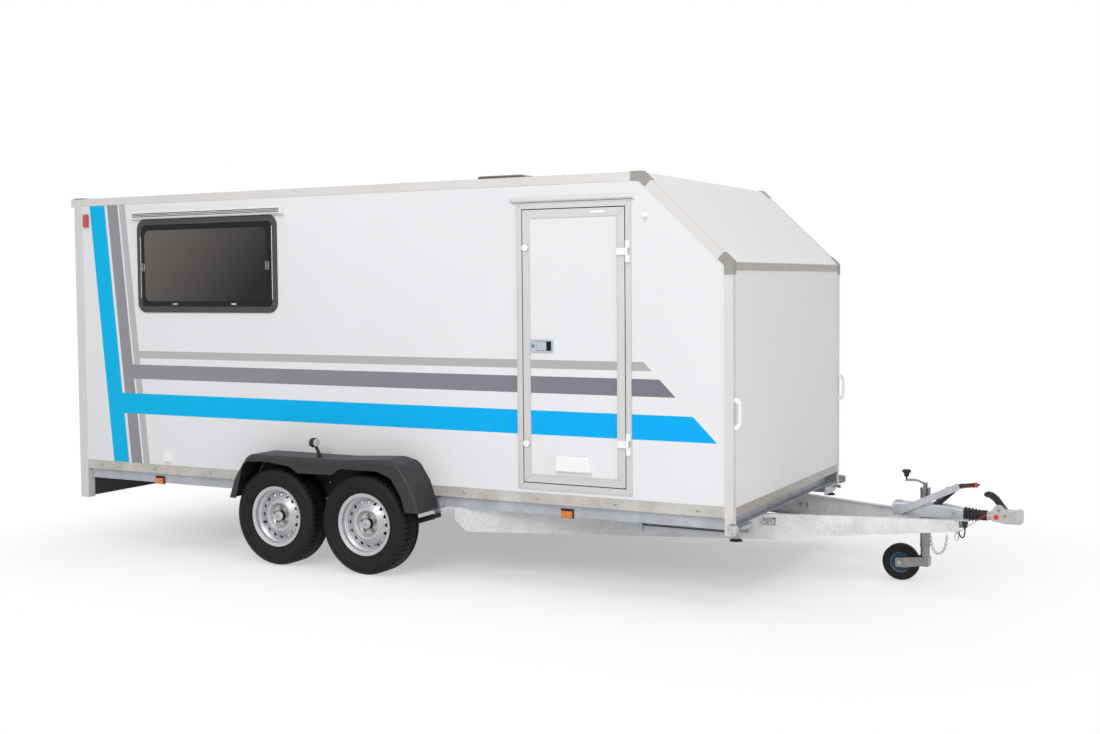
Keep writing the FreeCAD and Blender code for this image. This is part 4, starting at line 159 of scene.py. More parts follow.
class Tree:
    """A node tree with short calls that add nodes and fill their inputs."""

    def __init__(self, tree: bpy.types.NodeTree) -> None:
        """Keep the tree."""
        self.tree = tree

    def put(self, socket: Socket, value: object) -> None:
        """Link a socket to another, or set it to a plain value."""
        if isinstance(value, bpy.types.NodeSocket):
            self.tree.links.new(value, socket)
        else:
            socket.default_value = value

    def node(self, kind: str, inputs: dict[object, object], **settings: object) -> bpy.types.Node:
        """Add a node, set it up and fill its inputs.

        Args:
            kind: The node's type.
            inputs: Input names or places and what goes in them.
            settings: The node's own properties.

        Returns:
            The new node.
        """
        node = self.tree.nodes.new(kind)
        for name, value in settings.items():
            setattr(node, name, value)
        for name, value in inputs.items():
            self.put(node.inputs[name], value)
        return node

    def math(self, operation: str, *values: object) -> Socket:
        """Return the result of a Math node on the values."""
        return self.node("ShaderNodeMath", dict(enumerate(values)), operation=operation).outputs[0]

    def seen(self, *kinds: str) -> Socket:
        """Return 1 for rays of the named kinds, such as Is Camera Ray, and 0 for the rest."""
        rays = self.node("ShaderNodeLightPath", {}).outputs
        share = rays[kinds[0]]
        for kind in kinds[1:]:
            share = self.math("MAXIMUM", share, rays[kind])
        return share


class Graph(Tree):
    """A material's node graph, with short calls for the patterns that the finishes use."""

    def __init__(self, name: str) -> None:
        """Start a material with a Principled shader and its object coordinates."""
        self.material = bpy.data.materials.new(name)
        self.material.use_nodes = True
        super().__init__(self.material.node_tree)
        self.tree.nodes.clear()
        self.shader = self.node("ShaderNodeBsdfPrincipled", {})
        self.surface = self.node("ShaderNodeOutputMaterial", {"Surface": self.shader.outputs["BSDF"]}).inputs["Surface"]
        self.place = self.node("ShaderNodeTexCoord", {}).outputs["Object"]
        self._axes: dict[str, Socket] = {}

    def axis(self, name: str) -> Socket:
        """Return one object coordinate: X, Y or Z."""
        if not self._axes:
            split = self.node("ShaderNodeSeparateXYZ", {0: self.place})
            self._axes = {axis: split.outputs[axis] for axis in "XYZ"}
        return self._axes[name]

    def scaled(self, x: float, y: float, z: float) -> Socket:
        """Return the object coordinates stretched along the axes."""
        return self.node("ShaderNodeMapping", {"Vector": self.place, "Scale": (x, y, z)}).outputs[0]

    def noise(self, scale: float, detail: float = 3.0, place: Socket | None = None) -> Socket:
        """Return noise around 0.5 with a scale per metre."""
        return self.node("ShaderNodeTexNoise", {"Vector": place or self.place, "Scale": scale,
                                                "Detail": detail}).outputs[0]

    def cells(self, scale: float) -> Socket:
        """Return a grey of its own for each cell of a pattern with a scale per metre."""
        pattern = self.node("ShaderNodeTexVoronoi", {"Vector": self.place, "Scale": scale})
        return self.node("ShaderNodeSeparateColor", {0: pattern.outputs["Color"]}).outputs[0]

    def ramp(self, value: Socket, low: float, high: float, start: float = 0.0, end: float = 1.0) -> Socket:
        """Return a value carried from one range to another, held at the ends."""
        return self.node("ShaderNodeMapRange", {"Value": value, "From Min": low, "From Max": high,
                                                "To Min": start, "To Max": end}).outputs[0]

    def band(self, value: Socket, low: float, high: float) -> Socket:
        """Return 1 where a value lies between two limits, and 0 elsewhere."""
        return self.math("COMPARE", value, (low + high) / 2, (high - low) / 2)

    def mix(self, share: object, first: object, second: object) -> Socket:
        """Return a blend of two colours."""
        return self.node("ShaderNodeMix", {0: share, 6: first, 7: second}, data_type="RGBA").outputs[2]

    def bump(self, height: Socket, depth: float, before: Socket | None = None) -> Socket:
        """Return a normal that a height bends, with its depth in metres."""
        inputs: dict[object, object] = {"Height": height, "Distance": depth, "Strength": 1.0}
        if before is not None:
            inputs["Normal"] = before
        return self.node("ShaderNodeBump", inputs).outputs[0]


@dataclass(frozen=True)
class Finish:
    """A plain moulded or painted surface with mottled colour, uneven gloss and a fine grain."""

    name: str
    colour: Colour
    roughness: float = 0.5
    metallic: float = 0.0
    mottle: float = 0.06
    mottle_scale: float = 9.0
    grain_scale: float = 900.0
    grain_depth: float = 0.00008
    dust: float = 0.0
    coat: float = 0.0
    sheen: float = 0.5
    gloss_spread: float = 0.05

    def shades(self, low: float, high: float) -> tuple[tuple, tuple]:
        """Return the colour made darker and lighter, both linear."""
        return (linear(tuple(value * low for value in self.colour)),
                linear(tuple(min(1.0, value * high) for value in self.colour)))

    def colours(self, graph: Graph) -> Socket:
        """Return the surface's colour: two shades of it in slow patches, with dust low down.

        Args:
            graph: The material's graph.

        Returns:
            The colour's socket.
        """
        patches = graph.noise(self.mottle_scale, 4.0)
        shade = graph.mix(graph.ramp(patches, 0.35, 0.65), *self.shades(1 - self.mottle, 1.0))
        if self.dust:
            low = graph.ramp(graph.axis("Z"), 0.0, 0.9, self.dust, 0.0)
            spread = graph.math("MULTIPLY", low, graph.ramp(graph.noise(26.0, 6.0), 0.35, 0.7))
            shade = graph.mix(spread, shade, linear((0.50, 0.48, 0.45)))
        return shade

    def relief(self, graph: Graph) -> Socket:
        """Return the surface's bent normal."""
        return graph.bump(graph.noise(self.grain_scale, 2.0), self.grain_depth)

    def gloss(self, graph: Graph) -> Socket:
        """Return the surface's uneven roughness."""
        return graph.ramp(graph.noise(self.mottle_scale * 4, 5.0), 0.3, 0.7,
                          max(0.02, self.roughness - self.gloss_spread), self.roughness + self.gloss_spread)

    def build(self) -> bpy.types.Material:
        """Make the material.

        Returns:
            The finished material.
        """
        graph = Graph(self.name)
        graph.put(graph.shader.inputs["Base Color"], self.colours(graph))
        graph.put(graph.shader.inputs["Roughness"], self.gloss(graph))
        graph.put(graph.shader.inputs["Normal"], self.relief(graph))
        graph.shader.inputs["Metallic"].default_value = self.metallic
        graph.shader.inputs["Specular IOR Level"].default_value = self.sheen
        graph.shader.inputs["Coat Weight"].default_value = self.coat
        graph.shader.inputs["Coat Roughness"].default_value = 0.08
        return graph.material


@dataclass(frozen=True)
class Galvanised(Finish):
    """Hot-dip zinc: cloudy grey with a fine spangle and pale streaks."""

    spangle_scale: float = 160.0

    def colours(self, graph: Graph) -> Socket:
        """Return the cloudy, spangled grey."""
        clouds = graph.mix(graph.ramp(graph.noise(7.0, 6.0), 0.3, 0.7), *self.shades(0.86, 1.06))
        crystals = graph.mix(graph.ramp(graph.cells(self.spangle_scale), 0.1, 0.9), *self.shades(0.93, 1.07))
        grey = graph.mix(0.45, clouds, crystals)
        streaks = graph.noise(5.0, 6.0, graph.scaled(1.0, 1.0, 0.25))
        return graph.mix(graph.ramp(streaks, 0.55, 0.75, 0.0, 0.4), grey, linear((0.84, 0.85, 0.87)))

    def gloss(self, graph: Graph) -> Socket:
        """Return the crystals' own roughness."""
        return graph.ramp(graph.cells(self.spangle_scale), 0.0, 1.0, self.roughness - 0.08, self.roughness + 0.1)


@dataclass(frozen=True)
class Brushed(Finish):
    """Satin metal with fine lines along an extrusion or a tube."""

    stretch: Point = (0.02, 1.0, 1.0)

    def relief(self, graph: Graph) -> Socket:
        """Return the fine lines."""
        return graph.bump(graph.noise(1400.0, 2.0, graph.scaled(*self.stretch)), self.grain_depth)


@dataclass(frozen=True)
class Tint:
    """A band's colour at the rear of the body and at its front; the front colour is darker, as painted shade along the
    side.
    """

    rear: Colour
    front: Colour

    def blend(self, graph: Graph, share: Socket) -> Socket:
        """Return the colour part way from the rear to the front, darkening forwards as painted shade."""
        return graph.mix(share, linear(self.rear), linear(self.front))


@dataclass(frozen=True)
class Stripe:
    """One painted band of the side: along the body or leaning back up the rear corner."""

    tint: Tint
    low: float
    high: float
    start: float = 0.0


@dataclass(frozen=True)
class StripedPanel(Finish):
    """White laminate with the side's painted bands, in places measured from the body's rear face."""

    lean: float = 0.1015
    lean_from: float = 0.556
    nose: float = 5.815
    skin: float = 1.03
    uprights: tuple[Stripe, ...] = ()
    levels: tuple[Stripe, ...] = ()

    def colours(self, graph: Graph) -> Socket:
        """Return white with the bands laid over it, each band darker towards the front as painted shade."""
        shade = super().colours(graph)
        forward = graph.math("ADD", graph.axis("X"), FRAME.middle)
        upward = graph.axis("Z")
        leaning = graph.math("MULTIPLY_ADD", graph.math("SUBTRACT", upward, self.lean_from), self.lean, forward)
        before_nose = graph.math("LESS_THAN", graph.math("ADD", forward, upward), self.nose)
        outside = graph.math("GREATER_THAN", graph.math("ABSOLUTE", graph.axis("Y")), self.skin)
        # Painted shade on the bands: their share of the darker front colour grows forwards
        share = graph.ramp(graph.axis("X"), FRAME.rear, FRAME.front)
        for stripe in self.uprights:
            inside = graph.math("MULTIPLY", graph.band(leaning, stripe.low, stripe.high), outside)
            shade = graph.mix(inside, shade, stripe.tint.blend(graph, share))
        before_nose = graph.math("MULTIPLY", before_nose, outside)
        for stripe in self.levels:
            inside = graph.math("MULTIPLY", graph.band(upward, stripe.low, stripe.high), before_nose)
            inside = graph.math("MULTIPLY", inside, graph.math("GREATER_THAN", leaning, stripe.start))
            shade = graph.mix(inside, shade, stripe.tint.blend(graph, share))
        return shade


@dataclass(frozen=True)
class SmokedPane(Finish):
    """Dark acrylic inside a black edge band, with painted light and shade over it: lighter at the rear top, darker
    forwards and down.
    """

    middle_x: float = -1.9425
    middle_z: float = 1.945
    half_length: float = 0.572
    half_height: float = 0.278
    border: float = 0.034
    corner: float = 0.045

    def colours(self, graph: Graph) -> Socket:
        """Return the tint with its painted light and shade, and its black edge."""
        across = graph.math("ABSOLUTE", graph.math("SUBTRACT", graph.axis("X"), self.middle_x))
        upward = graph.math("ABSOLUTE", graph.math("SUBTRACT", graph.axis("Z"), self.middle_z))
        past = [graph.math("MAXIMUM", graph.math("SUBTRACT", reach, half - self.border - self.corner), 0.0)
                for reach, half in ((across, self.half_length), (upward, self.half_height))]
        squares = graph.math("ADD", graph.math("MULTIPLY", past[0], past[0]), graph.math("MULTIPLY", past[1], past[1]))
        inside = graph.math("LESS_THAN", squares, self.corner ** 2)
        # Painted light and shade on the pane: lighter at the rear top, darker forwards and down
        light_and_shade = graph.ramp(graph.axis("X"), self.middle_x - self.half_length, self.middle_x + self.half_length)
        light_and_shade = graph.math("ADD", light_and_shade, graph.ramp(graph.axis("Z"), self.middle_z - self.half_height,
                                                  self.middle_z + self.half_height, 0.22, -0.22))
        tint = graph.mix(light_and_shade, linear((0.365, 0.345, 0.335)), linear((0.07, 0.066, 0.066)))
        return graph.mix(inside, linear(self.colour), tint)


@dataclass(frozen=True)
class GuardMoulding(Finish):
    """Grained black moulding with a row of fine ribs on its front shoulder and two shut lines."""

    ribs_from: float = -0.36
    ribs_to: float = -0.16
    ribs_low: float = 0.66
    rib_pitch: float = 0.02
    seams: Flat = (-0.9985, -0.7015)
    seam_width: float = 0.004
    seam_low: float = 0.668

    def seam(self, graph: Graph) -> Socket:
        """Return 1 on the shut lines of the lamp's inlay and 0 elsewhere.

        Args:
            graph: The material's graph.

        Returns:
            The lines' socket.
        """
        first, last = self.seams
        along, upward = graph.axis("X"), graph.axis("Z")
        above = graph.math("GREATER_THAN", upward, self.seam_low - self.seam_width / 2)
        ends = graph.math("ADD", graph.band(along, first - self.seam_width / 2, first + self.seam_width / 2),
                          graph.band(along, last - self.seam_width / 2, last + self.seam_width / 2))
        level = graph.math("MULTIPLY", graph.band(along, first, last),
                           graph.band(upward, self.seam_low - self.seam_width / 2, self.seam_low + self.seam_width / 2))
        return graph.math("MAXIMUM", graph.math("MULTIPLY", ends, above), level)

    def colours(self, graph: Graph) -> Socket:
        """Return the moulding's colour, darker on the shut lines."""
        return graph.mix(self.seam(graph), super().colours(graph), linear((0.03, 0.03, 0.03)))

    def relief(self, graph: Graph) -> Socket:
        """Return the grain with the ribs and shut lines over it."""
        wave = graph.math("PINGPONG", graph.math("ADD", graph.axis("X"), 10.0), self.rib_pitch / 2)
        wave = graph.ramp(wave, self.rib_pitch * 0.32, self.rib_pitch * 0.42)
        wave = graph.math("MULTIPLY", wave, graph.band(graph.axis("X"), self.ribs_from, self.ribs_to))
        wave = graph.math("MULTIPLY", wave, graph.math("GREATER_THAN", graph.axis("Z"), self.ribs_low))
        return graph.bump(wave, 0.002, super().relief(graph))


@dataclass(frozen=True)
class Lens(Finish):
    """A clear or coloured moulded lens with fine upright flutes."""

    flute_pitch: float = 0.004

    def relief(self, graph: Graph) -> Socket:
        """Return the flutes."""
        place = graph.math("ADD", graph.math("ADD", graph.axis("X"), graph.axis("Y")), 10.0)
        return graph.bump(graph.math("PINGPONG", place, self.flute_pitch / 2), 0.6)


# Rear and front colour of each band; the darker front colours are painted shade along the side
BLUE = Tint((0.0, 0.71, 0.90), (0.0, 0.66, 0.94))
SLATE = Tint((0.58, 0.575, 0.595), (0.46, 0.465, 0.50))
SILVER = Tint((0.73, 0.72, 0.715), (0.68, 0.67, 0.67))
WHITE: Colour = (0.90, 0.90, 0.905)


class Paint(Enum):
    """Every finish of the caravan."""

    PANEL = Finish("white_laminate", WHITE, 0.4, mottle=0.012, mottle_scale=0.8,
                   grain_scale=260.0, grain_depth=0.000004, sheen=0.14, gloss_spread=0.02)
    SIDE = StripedPanel("striped_laminate", WHITE, 0.4, mottle=0.012, mottle_scale=0.8,
                        grain_scale=260.0, grain_depth=0.000004, sheen=0.14, gloss_spread=0.02,
                        uprights=(Stripe(SILVER, 0.618, 0.675), Stripe(SLATE, 0.503, 0.603),
                                  Stripe(BLUE, 0.333, 0.479)),
                        levels=(Stripe(SILVER, 1.301, 1.352, 0.64), Stripe(SLATE, 1.155, 1.255, 0.55),
                                Stripe(BLUE, 0.908, 1.052, 0.40)))
    TRIM = Brushed("coated_trim", (0.85, 0.835, 0.825), 0.42, metallic=0.15, mottle=0.02, mottle_scale=3.0,
                   grain_depth=0.00001, sheen=0.35)
    STRIP = Brushed("warm_strip", (0.665, 0.64, 0.615), 0.42, metallic=0.35, mottle=0.03, mottle_scale=4.0,
                    grain_depth=0.00001, sheen=0.4, stretch=(1.0, 0.02, 1.0))
    ALUMINIUM = Brushed("satin_aluminium", (0.825, 0.815, 0.81), 0.45, metallic=0.35, mottle=0.025,
                        mottle_scale=3.0, grain_depth=0.00001, sheen=0.4)
    BLOCK = Finish("corner_casting", (0.60, 0.585, 0.57), 0.5, metallic=0.3, mottle=0.04, grain_depth=0.00003)
    ZINC = Galvanised("galvanised_steel", (0.70, 0.71, 0.73), 0.46, metallic=0.4, grain_scale=300.0,
                      grain_depth=0.00005)
    BEAM = Galvanised("bright_galvanised", (0.845, 0.845, 0.85), 0.46, metallic=0.3, grain_scale=300.0,
                      grain_depth=0.00005, spangle_scale=110.0)
    # Warm grey on the sill rails: painted reflection of the ground
    SILL = Galvanised("weathered_galvanised", (0.755, 0.74, 0.72), 0.5, metallic=0.3, grain_scale=300.0,
                      grain_depth=0.00005, spangle_scale=130.0)
    STEEL = Brushed("zinc_plated_tube", (0.56, 0.55, 0.54), 0.28, metallic=0.85, mottle=0.05, mottle_scale=16.0,
                    grain_depth=0.0000004, stretch=(1.0, 1.0, 0.02))
    BOLT = Finish("plated_bolt", (0.70, 0.71, 0.72), 0.32, metallic=0.8, mottle=0.15, mottle_scale=120.0)
    WHEEL = Finish("silver_lacquer", (0.76, 0.765, 0.775), 0.36, metallic=0.4, mottle=0.04,
                   grain_depth=0.00002, coat=0.2, dust=0.12)
    # Near-black of the brake drum; also painted shade behind the rims' discs, in their vent bores and in the door
    # lock's recess, and the dark ring round each hub
    DRUM = Finish("brake_drum", (0.05, 0.05, 0.05), 0.6, mottle=0.2, mottle_scale=30.0, sheen=0.2)
    LUG = Finish("passivated_bolt", (0.62, 0.59, 0.55), 0.36, metallic=0.6, mottle=0.2, mottle_scale=90.0)
    TYRE = Finish("tyre_rubber", (0.06, 0.058, 0.058), 0.62, mottle=0.14, mottle_scale=22.0,
                  grain_depth=0.00006, dust=0.03, sheen=0.25)
    GUARD = GuardMoulding("guard_moulding", (0.16, 0.16, 0.17), 0.46, mottle=0.06, grain_depth=0.00004,
                          dust=0.05, sheen=0.4)
    MOULDING = Finish("black_moulding", (0.042, 0.042, 0.044), 0.4, mottle=0.08, grain_depth=0.00003, sheen=0.25)
    RUBBER = Finish("black_rubber", (0.07, 0.07, 0.073), 0.5, mottle=0.12, grain_depth=0.00005, sheen=0.4)
    # White plastic; the same white also draws the painted highlights beside the window pane
    PLASTIC = Finish("white_plastic", (0.90, 0.90, 0.89), 0.34, mottle=0.02, grain_depth=0.00002)
    LOCK = Brushed("satin_lock", (0.74, 0.77, 0.80), 0.36, metallic=0.3, mottle=0.05, grain_depth=0.00001)
    VENT = Finish("smoked_vent", (0.24, 0.21, 0.19), 0.2, mottle=0.15, coat=0.6, grain_depth=0.00002)
    PANE = SmokedPane("smoked_acrylic", (0.03, 0.03, 0.032), 0.12, mottle=0.25, mottle_scale=1.6,
                      grain_scale=3.0, grain_depth=0.00002, sheen=0.25)
    BLIND = Brushed("silver_extrusion", (0.93, 0.925, 0.915), 0.36, metallic=0.2, mottle=0.04,
                    grain_depth=0.00001)
    CASTING = Finish("zinc_casting", (0.74, 0.735, 0.725), 0.40, metallic=0.5, mottle=0.07, mottle_scale=30.0,
                     grain_scale=500.0, grain_depth=0.00006)
    AMBER = Lens("amber_lens", (0.97, 0.48, 0.05), 0.12, mottle=0.1, mottle_scale=80.0, coat=1.0)
    RED = Lens("red_lens", (0.80, 0.07, 0.06), 0.12, mottle=0.12, mottle_scale=80.0, coat=1.0)
    CLEAR = Lens("clear_lens", (0.80, 0.81, 0.82), 0.08, mottle=0.15, mottle_scale=80.0, coat=1.0)
    SIGNAL = Finish("signal_red", (0.88, 0.16, 0.13), 0.4, mottle=0.06, grain_depth=0.00003)
    HUB = Finish("blue_rim", (0.12, 0.30, 0.40), 0.5, mottle=0.15, mottle_scale=60.0, sheen=0.3)
    EDGE = Finish("pale_rim_edge", (0.62, 0.62, 0.61), 0.5, mottle=0.12, mottle_scale=60.0, sheen=0.3)
    DECK = Finish("coated_board", (0.42, 0.34, 0.26), 0.7, mottle=0.25, mottle_scale=14.0)
    CABLE = Finish("black_sheath", (0.08, 0.08, 0.085), 0.42, mottle=0.1)
    WIRE = Finish("red_wire", (0.86, 0.14, 0.13), 0.4, mottle=0.1)
    # Dark joint lines and the lock's keyhole; also painted shade in the blind box's grooves and the door vent's louvres
    DARK = Finish("dark_joint", (0.09, 0.09, 0.09), 0.7, mottle=0.1)

    @property
    def material(self) -> bpy.types.Material:
        """Return the finish's material, made once."""
        made = bpy.data.materials.get(self.value.name)
        return made or self.value.build()


NODE_PAINTS: dict[Paint, tuple[str, ...]] = {
    Paint.SIDE: ("side_wall_right", "side_wall_left", "door_leaf_panel"),
    Paint.PANEL: ("roof_panel", "slope_panel", "front_panel", "ramp_panel"),
    Paint.TRIM: ("edge_trims", "rear_portal", "rear_ramp"),
    Paint.STRIP: ("front_strips",),
    Paint.ALUMINIUM: ("door_frame", "door_leaf_frame", "wall_fittings"),
    Paint.BEAM: ("drawbar_beams",),
    Paint.SILL: ("sill_rails",),
    Paint.GUARD: ("mudguard_right", "mudguard_left"),
    Paint.MOULDING: ("window_frames", "lamp_board"),
    Paint.RUBBER: ("draw_bellows", "coupling_handle", "handbrake_grip", "cable_ends", "dampers"),
    Paint.PLASTIC: ("grab_handles", "door_hinge_mounts", "door_hinge_straps", "door_fittings", "ramp_fittings"),
    Paint.VENT: ("roof_vent",),
    Paint.PANE: ("window_panes",),
    Paint.BLIND: ("blind_boxes",),
    Paint.CASTING: ("coupling_head",),
    Paint.STEEL: ("jockey_tube", "jockey_fork"),
    Paint.DECK: ("floor_panel",),
}


def paint_of(node: str) -> Paint:
    """Return the finish of a whole node."""
    for paint, names in NODE_PAINTS.items():
        if node in names:
            return paint
    return Paint.TYRE if node.startswith("tyre_") else Paint.WHEEL if node.startswith("rim_") else Paint.ZINC


# The finishes of nodes that carry more than one, by the place of each face


@dataclass(frozen=True)
class Marks:
    """The places and limits in metres where a node's finish changes."""

    tail_amber: float = 0.87
    tail_clear: float = 0.75
    high_lamps: float = 2.0
    guard_lamps: float = 0.6
    guard_lens: float = 0.026
    front_lamps: float = 0.05
    front_lens: float = 1.0585
    side_lens: float = 1.0135
    button: Flat = (FRAME.along(6223.9), 0.44)
    button_radius: float = 0.0145
    button_reach: float = 0.0385
    grip: Flat = (FRAME.along(6021.7), 0.6086)
    grip_turn: float = 8.0
    grip_under: float = -0.006
    grip_panel: Flat = (0.012, 0.092)
    grip_ring: Flat = (0.0915, 0.1015)
    knob: Flat = (FRAME.along(5712), 0.613)
    jockey_tyre: float = 0.061
    jockey_edge: float = 0.0575
    steady_foot: float = 0.3663
    steady_screw: float = 0.0005
    damper_reach: float = 1.0145
    gutter_low: float = 2.27
    gutter_ends: Flat = (FRAME.along(3622.5), FRAME.along(4408))
    lock: Flat = (1.38, 1.49)
    knees: tuple[Flat, ...] = ((FRAME.front - 0.54, FRAME.roof), (FRAME.front, FRAME.roof - 0.515))
    knee_reach: float = 0.08


MARKS = Marks()


def distance(place: Vector, x: float, z: float) -> float:
    """Return how far a place lies from a line across the caravan at x and z."""
    return math.hypot(place.x - x, place.z - z)


def lamp_paint(place: Vector) -> Paint:
    """Return the lens colour of a face of the lamps.

    Args:
        place: The face's middle.

    Returns:
        The lens or base finish there.
    """
    reach = abs(place.y)
    if place.x < FRAME.rear:
        return Paint.AMBER if reach > MARKS.tail_amber else Paint.CLEAR if reach < MARKS.tail_clear else Paint.RED
    if place.z > MARKS.high_lamps:
        return Paint.RED
    if place.z > MARKS.guard_lamps:
        if distance(place, GUARD_LAMP_X, GUARD_LAMP_Z) > MARKS.guard_lens:
            return Paint.RUBBER
        return Paint.RED if place.x < GUARD_LAMP_X else Paint.CLEAR
    if place.x > FRAME.front - MARKS.front_lamps:
        return Paint.CLEAR if reach > MARKS.front_lens else Paint.EDGE
    return Paint.AMBER if reach > MARKS.side_lens else Paint.RUBBER


def coupling_paint(place: Vector) -> Paint:
    """Return red for the coupling's round buttons and zinc for the rest."""
    button = distance(place, *MARKS.button) < MARKS.button_radius and abs(place.y) > MARKS.button_reach
    return Paint.SIGNAL if button else Paint.CASTING


def grip_paint(place: Vector) -> Paint:
    """Return red for the handbrake grip's ring and underside, and black for the rest.

    Args:
        place: The face's middle.

    Returns:
        The finish there.
    """
    forward, upward = place.x - MARKS.grip[0], place.z - MARKS.grip[1]
    turn = math.radians(MARKS.grip_turn)
    run = forward * math.cos(turn) + upward * math.sin(turn)
    rise = upward * math.cos(turn) - forward * math.sin(turn)
    under = rise < MARKS.grip_under and MARKS.grip_panel[0] < run < MARKS.grip_panel[1]
    return Paint.SIGNAL if under or MARKS.grip_ring[0] < run < MARKS.grip_ring[1] else Paint.RUBBER


def crank_paint(place: Vector) -> Paint:
    """Return black for the crank's knob and steel for the rest of the jockey's fixed leg."""
    return Paint.RUBBER if place.x < MARKS.knob[0] and place.z > MARKS.knob[1] else Paint.STEEL


def roller_paint(place: Vector) -> Paint:
    """Return the jockey wheel's tyre, pale rim edge or blue rim by the distance from its pin."""
    reach = distance(place, *JOCKEY_PIN)
    return Paint.TYRE if reach > MARKS.jockey_tyre else Paint.EDGE if reach > MARKS.jockey_edge else Paint.HUB


def steady_paint(place: Vector) -> Paint:
    """Return black for a steady's foot and zinc for its leg."""
    return Paint.RUBBER if place.z < MARKS.steady_foot else Paint.ZINC


def bracket_paint(place: Vector) -> Paint:
    """Return bright steel for the steadies' screws and zinc for their brackets."""
    return Paint.STEEL if place.x > FRAME.front + MARKS.steady_screw else Paint.ZINC


def damper_paint(place: Vector) -> Paint:
    """Return zinc for the dampers' brackets and black for their struts."""
    return Paint.ZINC if abs(place.y) < MARKS.damper_reach else Paint.RUBBER


def wall_paint(place: Vector) -> Paint:
    """Return the finish of the gutter, its end caps and the white fittings.

    Args:
        place: The face's middle.

    Returns:
        The finish there.
    """
    if place.z < MARKS.gutter_low:
        return Paint.PLASTIC
    if place.x < MARKS.gutter_ends[0]:
        return Paint.LOCK
    return Paint.PLASTIC if place.x > MARKS.gutter_ends[1] else Paint.ALUMINIUM


def door_paint(place: Vector) -> Paint:
    """Return satin metal for the door's lock and white for its other fittings."""
    return Paint.LOCK if MARKS.lock[0] < place.z < MARKS.lock[1] else Paint.PLASTIC


def trim_paint(place: Vector) -> Paint:
    """Return the casting's colour near the two knees and aluminium elsewhere."""
    near = min(distance(place, *knee) for knee in MARKS.knees)
    return Paint.BLOCK if near < MARKS.knee_reach else Paint.TRIM


FACE_PAINTS: dict[str, Callable[[Vector], Paint]] = {
    "lamps": lamp_paint, "coupling_head": coupling_paint, "handbrake_grip": grip_paint,
    "jockey_tube": crank_paint, "jockey_wheel": roller_paint, "steady_right": steady_paint,
    "steady_left": steady_paint, "steady_brackets": bracket_paint, "dampers": damper_paint,
    "wall_fittings": wall_paint, "door_fittings": door_paint, "edge_trims": trim_paint,
}


